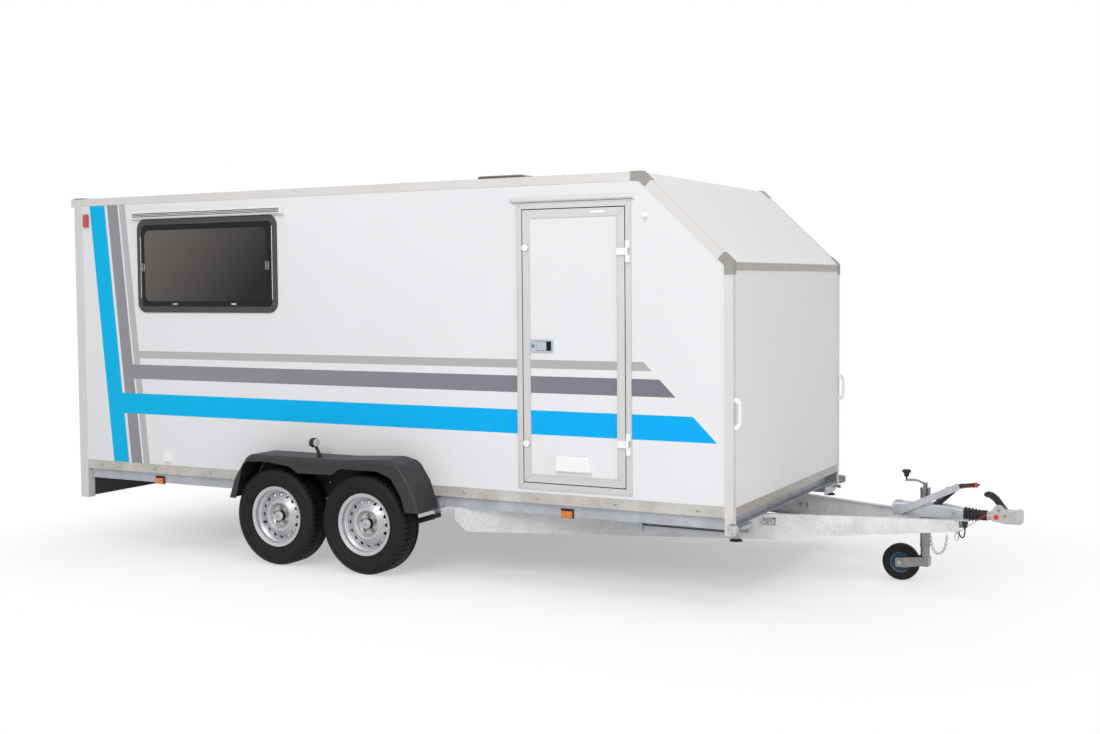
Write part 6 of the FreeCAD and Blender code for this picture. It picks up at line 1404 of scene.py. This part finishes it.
@dataclass(frozen=True)
class BodyFittings:
    """The small fasteners and seals of the body's side, front and rear."""

    sill_bolt_count: int = 10
    kick_height: float = 0.534
    kick_places: tuple[float, ...] = (-0.92, -0.64, -0.355, -0.01, 0.365, 0.665, 0.955)
    rail_height: float = 0.449
    rail_places: tuple[float, ...] = (-0.69, -0.416, -0.29, 0.26, 0.37, 0.65, 0.876)
    rail_recess: float = 0.03
    roof_screw_count: int = 12
    roof_screw_reach: float = 1.015
    roof_trim_height: float = 0.0028
    lamp_reach: float = 1.187
    seal_reach: float = 1.030

    SEAL: ClassVar[tuple[Flat, ...]] = ((-3.1955, 2.4335), (-3.1955, 2.4350), (-3.1000, 2.4375), (-3.1000, 2.4325),
                                        (-3.1600, 2.4325))

    def sill_bolts(self) -> None:
        """Set a row of round-headed bolts along each sill rail."""
        low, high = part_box("sill_rails")
        for side in Side:
            outward = side.value
            face = low.y if outward < 0 else high.y
            form = Solid(f"sill_bolt_{side.word}")
            form.lathe([(0.0, -0.001), (0.0105, -0.001), (0.0105, 0.0014), (0.0085, 0.0022), (0.0075, 0.0052),
                        (0.0040, 0.0072), (0.0, 0.0076)], (0, 0, 0), (0, outward, 0), Paint.BOLT, 20)
            height = (low.z + high.z) / 2
            mesh = row(f"sill_bolts_{side.word}", form, self.sill_bolt_count, (low.x + 0.14, face, height),
                       (high.x - 0.16, face, height))
            fasten(f"sill_bolts_{side.word}", mesh, Body.ROOT.value)

    def front_rivets(self) -> None:
        """Set the rivets of the kick strip and the round bolts of the front cross rail."""
        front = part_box("front_strips")[1].x
        rivets = Solid("kick_strip_rivets")
        for place in self.kick_places:
            rivets.lathe(ROUND_HEAD, (front, place, self.kick_height), (1, 0, 0), Paint.ALUMINIUM, 14)
        rivets.build(Body.ROOT.value, "aluminium_trim")
        bolts, rail = Solid("front_rail_bolts"), FRAME.front - self.rail_recess
        for place in self.rail_places:
            bolts.lathe(ROUND_HEAD, (rail, place, self.rail_height), (1, 0, 0), Paint.BOLT, 14)
        bolts.build(Body.ROOT.value, "galvanised")

    def roof_screws(self) -> None:
        """Set a row of screws along each roof trim."""
        start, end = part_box("edge_trims")[0].x + 0.08, FRAME.front - 0.66
        height = FRAME.roof + self.roof_trim_height
        form = Solid("roof_screw")
        form.lathe([(0.0, -0.001), (0.005, -0.001), (0.005, 0.0005), (0.003, 0.0018), (0.0, 0.002)], (0, 0, 0),
                   (0, 0, 1), Paint.BOLT, 12)
        for side in Side:
            place = side.value * self.roof_screw_reach
            mesh = row(f"roof_screws_{side.word}", form, self.roof_screw_count, (start, place, height),
                       (end, place, height))
            fasten(f"roof_screws_{side.word}", mesh, Body.ROOT.value)

    def guard_lamps(self) -> None:
        """Make the round heads of the lamps on the mudguards: a black ring with a lens on each end."""
        for side in Side:
            head = Solid(f"guard_lamp_head_{side.word}")
            centre = (GUARD_LAMP_X, side.value * self.lamp_reach, GUARD_LAMP_Z)
            head.lathe([(0.0, -0.0150), (0.0285, -0.0150), (0.0305, -0.0130), (0.0305, 0.0130), (0.0285, 0.0150),
                        (0.0, 0.0150)], centre, (1, 0, 0), Paint.RUBBER, 36)
            for sign, paint in ((-1, Paint.RED), (1, Paint.CLEAR)):
                head.lathe([(0.0, 0.0145), (0.0270, 0.0145), (0.0265, 0.0230), (0.0235, 0.0270), (0.0, 0.0280)], centre,
                           (sign, 0, 0), paint, 36)
            head.build(Body.ROOT.value, "lamp_lens")

    def rear_seal(self) -> None:
        """Lay the thin black seal that sheds water over the ramp's top edge."""
        seal = Solid("rear_top_seal")
        seal.prism(self.SEAL, -self.seal_reach, self.seal_reach, Paint.RUBBER)
        seal.build(Body.ROOT.value, "black_rubber")

    def build(self) -> None:
        """Make the fasteners, lamp heads and seal."""
        self.sill_bolts()
        self.front_rivets()
        self.roof_screws()
        self.guard_lamps()
        self.rear_seal()


@dataclass(frozen=True)
class GuardWall:
    """A black sheet on the body's side above and between the wheels, shaped like a mudguard's inner wall: painted shade
    under the guard.
    """

    side: Side
    spacing: float = 0.690
    radius: float = 0.315
    back: float = 1.0408
    front: float = 1.0438

    SHAPE: ClassVar[tuple[Flat, ...]] = ((-1.02, 1.36), (-0.945, 1.75), (-0.785, 2.235), (0.232, 2.235),
                                         (0.755, 2.29), (0.898, 2.215), (1.01, 1.86), (1.09, 1.36))

    def build(self) -> None:
        """Cut the sheet to the shape under the guard's crown."""
        middle = (FRAME.front_wheel + FRAME.rear_wheel) / 2
        # A black sheet of painted shade on the white side under the guard
        wall = Solid(f"guard_wall_{self.side.word}")
        low, high = sorted((self.side.value * self.back, self.side.value * self.front))
        wall.prism([(middle + x * self.spacing, z * self.radius) for x, z in self.SHAPE], low, high, Paint.RUBBER)
        wall.build(Body.ROOT.value, "black_moulding")


@dataclass(frozen=True)
class SideDoor:
    """The side door's seal, mitre lines, lock face and hood louvres."""

    frame_low: Flat = (3.646, 0.583)
    frame_high: Flat = (4.391, 2.275)
    frame_width: float = 0.035
    seal_gap: float = 0.0006
    seal_width: float = 0.0034
    leaf_low: Flat = (3.687, 0.624)
    leaf_high: Flat = (4.350, 2.234)
    leaf_width: float = 0.049
    face: float = -1.0432
    lock_low: Flat = (3.739, 1.397)
    lock_high: Flat = (3.887, 1.471)
    lock_face: float = -1.048
    lock_rim: float = 0.005
    louvre_pitch: float = 0.013

    def flat(self, solid: Solid, low: Flat, high: Flat, back: float, front: float, paint: Paint) -> None:
        """Add a flat box on the side, by its corners forward and up and its depth."""
        near, far = sorted((back, front))
        solid.box((low[0] - FRAME.middle, near, low[1]), (high[0] - FRAME.middle, far, high[1]), paint)

    def border(self, solid: Solid, low: Flat, high: Flat, width: float, back: float, front: float,
               paint: Paint) -> None:
        """Add a flat border inside two corners as one closed ring.

        Args:
            solid: The piece that gets the border.
            low: The lower rear corner, forward and up.
            high: The upper front corner.
            width: The border's width.
            back: One of its depths.
            front: The other.
            paint: Its finish.
        """
        points: list[Point] = []
        for depth, inset in ((back, 0.0), (back, width), (front, width), (front, 0.0)):
            left, right = (x - FRAME.middle for x in (low[0] + inset, high[0] - inset))
            bottom, top = low[1] + inset, high[1] - inset
            points += [(left, depth, bottom), (right, depth, bottom), (right, depth, top), (left, depth, top)]
        faces = [(near + corner, near + (corner + 1) % 4, (near + 4) % 16 + (corner + 1) % 4, (near + 4) % 16 + corner)
                 for near in range(0, 16, 4) for corner in range(4)]
        solid.add(points, faces, paint)

    def mitres(self, solid: Solid, low: Flat, high: Flat, width: float) -> None:
        """Add the four fine joint lines at the corners of a frame."""
        half = width * math.sqrt(0.5) - 0.001
        for x, z, lean in ((low[0] + width / 2, low[1] + width / 2, -45), (high[0] - width / 2, low[1] + width / 2, 45),
                           (low[0] + width / 2, high[1] - width / 2, 45),
                           (high[0] - width / 2, high[1] - width / 2, -45)):
            x -= FRAME.middle
            solid.box((x - half, self.face, z - 0.0005), (x + half, self.face + 0.0012, z + 0.0005), Paint.DARK,
                      Matrix.Rotation(math.radians(lean), 3, "Y"))

    def seal(self) -> None:
        """Make the dark seal in the gap and the mitre lines of the outer frame."""
        seal = Solid("door_seal")
        inset = self.frame_width + self.seal_gap
        low = (self.frame_low[0] + inset, self.frame_low[1] + inset)
        high = (self.frame_high[0] - inset, self.frame_high[1] - inset)
        self.border(seal, low, high, self.seal_width, -1.012, -1.0375, Paint.RUBBER)
        self.mitres(seal, self.frame_low, self.frame_high, self.frame_width)
        seal.build(Body.ROOT.value, "black_rubber")

    def lock(self) -> None:
        """Make the lock's raised rim, paddle, finger recess in painted shade, and cylinder."""
        lock = Solid("door_lock_face")
        (left, bottom), top = self.lock_low, self.lock_high[1]
        face = self.lock_face
        self.border(lock, self.lock_low, self.lock_high, self.lock_rim, face + 0.001, face - 0.0022, Paint.LOCK)
        # The finger recess behind the paddle: a near-black plate of painted shade
        self.flat(lock, (left + 0.040, bottom + 0.009), (left + 0.136, top - 0.009), face + 0.001, face - 0.0004,
                  Paint.DRUM)
        self.flat(lock, (left + 0.042, bottom + 0.011), (left + 0.106, top - 0.011), face + 0.001, face - 0.0026,
                  Paint.LOCK)
        self.flat(lock, (left + 0.078, bottom + 0.013), (left + 0.080, top - 0.013), face - 0.002, face - 0.0040,
                  Paint.BOLT)
        x, z = left + 0.019 - FRAME.middle, (bottom + top) / 2
        lock.lathe([(0.0, -0.002), (0.0125, -0.002), (0.0125, 0.0035), (0.0110, 0.0048), (0.0, 0.0048)], (x, face, z),
                   (0, -1, 0), Paint.BOLT, 28)
        lock.lathe([(0.0, 0.004), (0.0060, 0.004), (0.0060, 0.0053), (0.0, 0.0053)], (x, face, z), (0, -1, 0),
                   Paint.DARK, 20)
        lock.box((x - 0.0008, face - 0.0058, z - 0.0045), (x + 0.0008, face - 0.0050, z + 0.0045), Paint.BOLT)
        lock.build(Body.DOOR.value, "white_plastic", bevel=0.0006)

    def leaf(self) -> None:
        """Make the leaf frame's mitre lines and the vent hood's louvres, drawn as dark strips of painted shade."""
        lines = Solid("door_leaf_lines")
        self.mitres(lines, self.leaf_low, self.leaf_high, self.leaf_width)
        # The louvres' slots: dark strips of painted shade
        for step in range(3):
            height, inset = 0.7005 + self.louvre_pitch * step, 0.002 * step
            self.flat(lines, (3.910 + inset, height), (4.126 - inset, height + 0.002), self.face, -1.0450, Paint.DARK)
        lines.build(Body.DOOR.value, "black_rubber")

    def build(self) -> None:
        """Make the door's fine pieces."""
        self.seal()
        self.lock()
        self.leaf()


@dataclass(frozen=True)
class SideWindow:
    """The side window's white lines of painted highlight, stays, catches and its blind box's ridges."""

    low: Flat = (0.653, 1.667)
    high: Flat = (1.797, 2.223)
    face: float = -1.0492
    stay_face: float = -1.0562
    stay_levels: Flat = (1.905, 1.965)
    catch_places: Flat = (0.965, 1.485)
    blind_low: Flat = (0.593, 2.268)
    blind_high: Flat = (1.888, 2.323)
    ridge_count: int = 4

    def lines(self) -> None:
        """Make the white lines beside the pane, which are painted highlights, the two stays and the two catches."""
        trim = Solid("window_trim_lines")
        # White strips beside the pane: painted highlights on the frame's inner lip
        for x, first, last in ((self.low[0] - 0.0105, 0.075, 0.060), (self.high[0] + 0.0085, 0.03, 0.045)):
            x -= FRAME.middle
            trim.box((x, self.face - 0.0016, self.low[1] + last), (x + 0.0035, self.face + 0.001, self.high[1] - first),
                     Paint.PLASTIC)
        face, (low, high) = self.stay_face, self.stay_levels
        for x in (self.low[0] + 0.004, self.high[0] - 0.044):
            x -= FRAME.middle
            trim.box((x, face - 0.0030, low), (x + 0.040, face + 0.001, high), Paint.MOULDING)
            for shift in (0.009, 0.027):
                trim.box((x + shift, face - 0.0042, low + 0.005), (x + shift + 0.005, face - 0.002, high - 0.005),
                         Paint.BOLT)
        for x in self.catch_places:
            x -= FRAME.middle
            trim.box((x - 0.030, -1.0592, 1.672), (x + 0.030, -1.0552, 1.690), Paint.MOULDING)
            trim.box((x - 0.018, -1.0612, 1.676), (x + 0.018, -1.0585, 1.686), Paint.LOCK)
        trim.build(Body.ROOT.value, "black_moulding", bevel=0.0006)

    def ridges(self) -> None:
        """Repeat the ridges of the blind box and the dark grooves between them, which are painted shade."""
        left, right = self.blind_low[0] - FRAME.middle, self.blind_high[0] - FRAME.middle
        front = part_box("blind_boxes")[0].y
        form = Solid("blind_ridge")
        form.prism([(0.0008, -0.0024), (0.0008, 0.0024), (-0.0014, 0.0012), (-0.0014, -0.0012)], left, right,
                   Paint.BLIND, "X")
        mesh = row("blind_ridges", form, self.ridge_count, (0.0, front + 0.0006, self.blind_low[1] + 0.012),
                   (0.0, front + 0.0006, self.blind_high[1] - 0.013))
        fasten("blind_ridges", mesh, Body.ROOT.value)
        # Dark grooves between the ridges: painted shade
        form = Solid("blind_groove")
        form.prism([(0.0006, -0.0016), (0.0006, 0.0016), (-0.0003, 0.0016), (-0.0003, -0.0016)], left, right,
                   Paint.DARK, "X")
        mesh = row("blind_grooves", form, self.ridge_count - 1, (0.0, front + 0.0002, self.blind_low[1] + 0.017),
                   (0.0, front + 0.0002, self.blind_high[1] - 0.018))
        fasten("blind_grooves", mesh, Body.ROOT.value)

    def build(self) -> None:
        """Make the window's fine pieces."""
        self.lines()
        self.ridges()


# Rear ramp, steadies, drawbar, coupling and jockey wheel


@dataclass(frozen=True)
class RearEnd:
    """The screws round the rear ramp's frame."""

    reach: float = 0.974
    bottom: float = 0.505
    top: float = 2.369
    inset: float = 0.023
    screw_count: int = 8
    screw_heights: Flat = (0.62, 2.25)
    screw_reach: float = 0.8

    def build(self) -> None:
        """Make a row of screws along each member of the ramp's frame."""
        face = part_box("rear_ramp")[0].x
        side, top, bottom = self.reach - self.inset, self.top - self.inset, self.bottom + self.inset
        (first, last), reach = self.screw_heights, self.screw_reach
        form = Solid("ramp_screw")
        form.lathe([(0.0, -0.001), (0.0055, -0.001), (0.0055, 0.0006), (0.0035, 0.0020), (0.0, 0.0022)], (0, 0, 0),
                   (-1, 0, 0), Paint.BOLT, 12)
        for word, start, end in (("right", (-side, first), (-side, last)), ("left", (side, first), (side, last)),
                                 ("top", (-reach, top), (reach, top)), ("low", (-reach, bottom), (reach, bottom))):
            name = f"ramp_screws_{word}"
            mesh = row(name, form, self.screw_count, (face, *start), (face, *end))
            fasten(name, mesh, Body.RAMP.value)


@dataclass(frozen=True)
class Steady:
    """The thread of one front steady's screw."""

    side: Side
    height: float = 0.411
    reach: float = 0.915
    turns: int = 14

    def build(self) -> None:
        """Repeat the thread along the screw."""
        form = Solid(f"steady_thread_{self.side.word}")
        form.lathe([(0.0080, -0.0014), (0.0092, 0.0), (0.0080, 0.0014)], (0, 0, 0), (1, 0, 0), Paint.STEEL, 18)
        place = self.side.value * self.reach
        start, end = FRAME.along(5003), FRAME.along(5029)
        mesh = row(f"steady_thread_{self.side.word}", form, self.turns, (start, place, self.height),
                   (end, place, self.height))
        fasten(f"steady_thread_{self.side.word}", mesh, Body.ROOT.value)


@dataclass(frozen=True)
class Drawbar:
    """The overrun housing's bolts, the beams' bolted plates and the lever's spring."""

    housing_reach: float = 0.042
    housing_places: tuple[Flat, ...] = ((5720, 0.455), (5985, 0.455), (5985, 0.437), (5720, 0.437))
    plate_half: Flat = (0.044, 0.028)
    plate_gauge: float = 0.004
    plate_bolt_reach: float = 0.026
    plate_places: tuple[tuple[float, int, float, float], ...] = ((0.0, 1, 4.990, 0.380), (0.0042, -1, 4.942, 0.352))
    spring_start: Point = (FRAME.along(5868), -0.026, 0.497)
    spring_end: Point = (FRAME.along(5962), -0.026, 0.566)
    spring_radius: float = 0.0075
    spring_wire: float = 0.0013
    spring_turns: int = 12
    spring_steps: int = 12

    def housing_bolts(self) -> None:
        """Set bolts through the overrun housing's sides and flanges."""
        bolts = Solid("housing_bolts")
        for side in Side:
            for along, height in self.housing_places:
                bolts.bolt((FRAME.along(along), side.value * self.housing_reach, height), (0, side.value, 0), 0.0075,
                           0.008, Paint.BOLT)
        bolts.build(Body.ROOT.value, "galvanised")

    def beam_plates(self) -> None:
        """Bolt a plate to each face of both beams where they pass under the front rail."""
        lean = math.radians(BEAM_TURN)
        for side in Side:
            plates = Solid(f"beam_plates_{side.word}")
            outward = Vector((math.sin(lean), side.value * math.cos(lean), 0.0))
            turn = Matrix.Rotation(-side.value * lean, 3, "Z")
            for face, sign, middle, height in self.plate_places:
                reach = BEAM_TIP[1] + (BEAM_TIP[0] - middle) * BEAM_SLOPE
                foot = Vector((middle - FRAME.middle, side.value * reach, height)) - outward * face
                centre = foot + outward * sign * self.plate_gauge / 2
                half = Vector((self.plate_half[0], self.plate_gauge / 2, self.plate_half[1]))
                plates.box(centre - half, centre + half, Paint.BEAM, turn)
                for shift in (-self.plate_bolt_reach, self.plate_bolt_reach):
                    spot = foot + outward * sign * self.plate_gauge + turn @ Vector((shift, 0.0, 0.0))
                    plates.bolt(spot, outward * sign, 0.011, 0.010, Paint.BOLT)
            plates.build(Body.ROOT.value, "galvanised")

    def spring(self) -> None:
        """Wind the bright spring strut beside the handbrake lever."""
        spring = Solid("lever_spring")
        start, end = Vector(self.spring_start), Vector(self.spring_end)
        ahead = (end - start).normalized()
        across = Vector((0, 1, 0))
        other = ahead.cross(across)
        count = self.spring_turns * self.spring_steps
        path: list[Vector] = []
        for step in range(count + 1):
            turn = step * math.tau / self.spring_steps
            path.append(start + (end - start) * step / count
                        + (across * math.cos(turn) + other * math.sin(turn)) * self.spring_radius)
        sweep(spring, path, self.spring_wire, Paint.BOLT, sides=6)
        spring.rod(start - ahead * 0.008, end + ahead * 0.008, 0.0035, Paint.BOLT)
        spring.build(Body.ROOT.value, "galvanised")

    def build(self) -> None:
        """Make the drawbar's fine pieces."""
        self.housing_bolts()
        self.beam_plates()
        self.spring()


@dataclass(frozen=True)
class Coupling:
    """The bolt heads on the coupling's cheeks."""

    reach: float = 0.0375
    bolt_height: float = 0.006
    places: tuple[Point, ...] = ((6237, 0.480, 0.0065), (6271, 0.449, 0.0065), (6188, 0.428, 0.0050))

    def build(self) -> None:
        """Set the bolt heads on both cheeks."""
        bolts = Solid("coupling_bolts")
        for side in Side:
            for along, height, radius in self.places:
                bolts.bolt((FRAME.along(along), side.value * self.reach, height), (0, side.value, 0), radius,
                           self.bolt_height, Paint.LUG)
        bolts.build(Body.ROOT.value, "coupling_steel")


@dataclass(frozen=True)
class Jockey:
    """The ribs of the jockey wheel's rim, its pin's nuts and the collars on its tube."""

    swivel_x: float = 2.6285
    reach: float = 0.086
    half_width: float = 0.03
    rib_count: int = 12
    collars: tuple[Flat, ...] = ((0.2165, 0.012), (0.5545, 0.010))

    @property
    def pin(self) -> Point:
        """Return the middle of the wheel's pin."""
        return (JOCKEY_PIN[0], self.reach, JOCKEY_PIN[1])

    def wheel(self) -> None:
        """Repeat the rim's ribs on both faces."""
        form = Solid("jockey_rib")
        for sign in (1, -1):
            low, high = sorted((sign * (self.half_width - 0.0125), sign * (self.half_width - 0.0085)))
            form.box((-0.0018, low, 0.020), (0.0018, high, 0.054), Paint.HUB)
        mesh = ring("jockey_ribs", form, self.rib_count, self.pin)
        fasten("jockey_ribs", mesh, Body.ROLLER.value)

    def fork(self) -> None:
        """Set a nut on each end of the wheel's pin."""
        nuts = Solid("jockey_nuts")
        low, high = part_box("jockey_fork")
        for face, outward in ((low.y, -1), (high.y, 1)):
            nuts.bolt((self.pin[0], face, self.pin[2]), (0, outward, 0), 0.0105, 0.010, Paint.BOLT)
        nuts.build(Body.SWIVEL.value, "galvanised")

    def tube(self) -> None:
        """Make the collars at the tube's foot and head."""
        collars = Solid("jockey_collars")
        for height, tall in self.collars:
            collars.lathe([(0.0300, 0.0), (0.0316, 0.001), (0.0316, tall - 0.001), (0.0300, tall)],
                          (self.swivel_x, self.reach, height), (0, 0, 1), Paint.STEEL, 40)
        collars.build(Body.ROOT.value, "galvanised")

    def build(self) -> None:
        """Make the jockey wheel's fine pieces."""
        self.wheel()
        self.fork()
        self.tube()


@dataclass(frozen=True)
class Studio:
    """The camera of the photograph, the pale floor and the soft lamps."""

    eye: Point = (4.4195, -8.027, 1.805)
    yaw: float = 28.114
    dip: float = 2.795
    roll: float = -0.471
    lens: float = 44.16
    shift: Flat = (0.0015, -0.0166)
    floor_reach: float = 60.0
    shadow_length: float = 2.2
    shadow_width: float = 0.9
    shadow_fade: float = 1.7
    shadow_white: float = 0.42
    ambient: float = 0.42
    lamps: tuple[tuple[str, Point, Point, float, float], ...] = (
        ("key_lamp", (1.2, -9.0, 7.0), (0.2, 0.0, 0.9), 6.0, 520.0),
        ("top_lamp", (0.0, 1.0, 9.0), (0.0, 0.0, 0.0), 8.0, 230.0),
        ("front_lamp", (9.0, -3.0, 3.0), (1.5, 0.0, 0.8), 4.0, 150.0),
    )

    def camera(self) -> None:
        """Place the camera where the photograph was taken."""
        yaw, dip, roll = (math.radians(angle) for angle in (self.yaw, self.dip, self.roll))
        ahead = Vector((-math.sin(yaw) * math.cos(dip), math.cos(yaw) * math.cos(dip), -math.sin(dip)))
        across = Vector((math.cos(yaw), math.sin(yaw), 0.0))
        upward = across.cross(ahead)
        right = across * math.cos(roll) + upward * math.sin(roll)
        above = upward * math.cos(roll) - across * math.sin(roll)
        data = bpy.data.cameras.new("camera")
        data.lens = self.lens
        data.shift_x, data.shift_y = self.shift
        data.clip_end = 200.0
        camera = stand("camera", data)
        turn = Matrix((right, above, -ahead)).transposed()
        camera.matrix_world = Matrix.Translation(Vector(self.eye)) @ turn.to_4x4()
        bpy.context.scene.camera = camera

    def floor(self) -> None:
        """Make the pale floor that fades into the white background."""
        graph = Graph("pale_floor")
        graph.put(graph.shader.inputs["Base Color"],
                  graph.mix(graph.noise(0.8, 3.0), linear((0.95, 0.95, 0.95)), linear((0.965, 0.965, 0.965))))
        graph.shader.inputs["Roughness"].default_value = 0.8
        past = [graph.math("MAXIMUM", graph.math("SUBTRACT", graph.math("ABSOLUTE", graph.axis(axis)), reach), 0.0)
                for axis, reach in (("X", self.shadow_length), ("Y", self.shadow_width))]
        flat = graph.node("ShaderNodeCombineXYZ", {0: past[0], 1: past[1]}).outputs[0]
        away = graph.node("ShaderNodeVectorMath", {0: flat}, operation="LENGTH").outputs["Value"]
        seen = graph.seen("Is Camera Ray", "Is Glossy Ray")
        share = graph.math("MULTIPLY", seen, graph.ramp(away, 0.0, self.shadow_fade, self.shadow_white, 1.0))
        white = graph.node("ShaderNodeEmission", {"Color": (1, 1, 1, 1), "Strength": 1.0}).outputs[0]
        blend = graph.node("ShaderNodeMixShader", {0: share, 1: graph.shader.outputs[0], 2: white})
        graph.put(graph.surface, blend.outputs[0])
        mesh = bpy.data.meshes.new("floor")
        reach = self.floor_reach
        corners = [(-reach, -reach, 0.0), (reach, -reach, 0.0), (reach, reach, 0.0), (-reach, reach, 0.0)]
        mesh.from_pydata(corners, [], [(0, 1, 2, 3)])
        mesh.materials.append(graph.material)
        floor = stand("floor", mesh)

    def world(self) -> None:
        """Fill the world with soft light, white where the camera or a reflection sees it."""
        world = bpy.data.worlds.new("studio")
        bpy.context.scene.world = world
        world.use_nodes = True
        world.node_tree.nodes.clear()
        tree = Tree(world.node_tree)
        seen = tree.seen("Is Camera Ray", "Is Glossy Ray", "Is Transmission Ray")
        soft = tree.node("ShaderNodeBackground", {"Color": (0.95, 0.97, 1.0, 1.0), "Strength": self.ambient})
        white = tree.node("ShaderNodeBackground", {"Color": (1.0, 1.0, 1.0, 1.0), "Strength": 1.0})
        blend = tree.node("ShaderNodeMixShader", {0: seen, 1: soft.outputs[0], 2: white.outputs[0]})
        tree.node("ShaderNodeOutputWorld", {"Surface": blend.outputs[0]})

    def lamp(self, name: str, place: Point, aim: Point, size: float, power: float) -> None:
        """Hang one large square lamp.

        Args:
            name: The lamp's name.
            place: Where it hangs.
            aim: The point that it faces.
            size: Its side in metres.
            power: Its power in watts.
        """
        data = bpy.data.lights.new(name, "AREA")
        data.size = size
        data.energy = power
        lamp = stand(name, data)
        turn = (Vector(aim) - Vector(place)).to_track_quat("-Z", "Y")
        lamp.matrix_world = Matrix.Translation(Vector(place)) @ turn.to_matrix().to_4x4()

    def build(self) -> None:
        """Set up the view, the floor, the world and the lamps."""
        bpy.context.scene.view_settings.view_transform = "Standard"
        self.floor()
        self.world()
        for settings in self.lamps:
            self.lamp(*settings)


def dress_nodes(nodes: dict[str, Thing]) -> None:
    """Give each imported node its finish, whole or by the place of each face.

    Args:
        nodes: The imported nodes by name.
    """
    for name, item in nodes.items():
        mesh = item.data
        mesh.materials.clear()
        chooser = FACE_PAINTS.get(name)
        if chooser is None:
            mesh.materials.append(paint_of(name).material)
            continue
        chosen = [chooser(polygon.center) for polygon in mesh.polygons]
        order = list(dict.fromkeys(chosen))
        for paint in order:
            mesh.materials.append(paint.material)
        for polygon, paint in zip(mesh.polygons, chosen):
            polygon.material_index = order.index(paint)


def main() -> None:
    """Build the whole scene in order."""
    logging.basicConfig(level=logging.INFO, format="%(name)s: %(message)s")
    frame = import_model()
    studio = Studio()
    studio.camera()
    for cable in CABLES:
        cable.build()
    dress_nodes(frame["nodes"])
    for axle, place in (("front", FRAME.front_wheel), ("rear", FRAME.rear_wheel)):
        for side in Side:
            RoadWheel(axle, side, place).build()
    BodyFittings().build()
    for side in Side:
        GuardWall(side).build()
    SideDoor().build()
    SideWindow().build()
    RearEnd().build()
    for side in Side:
        Steady(side).build()
    Drawbar().build()
    Coupling().build()
    Jockey().build()
    SafetyChain().build()
    studio.build()
    LOG.info("%d packed nodes dressed", len(frame["nodes"]))


if __name__ == "__main__":
    main()
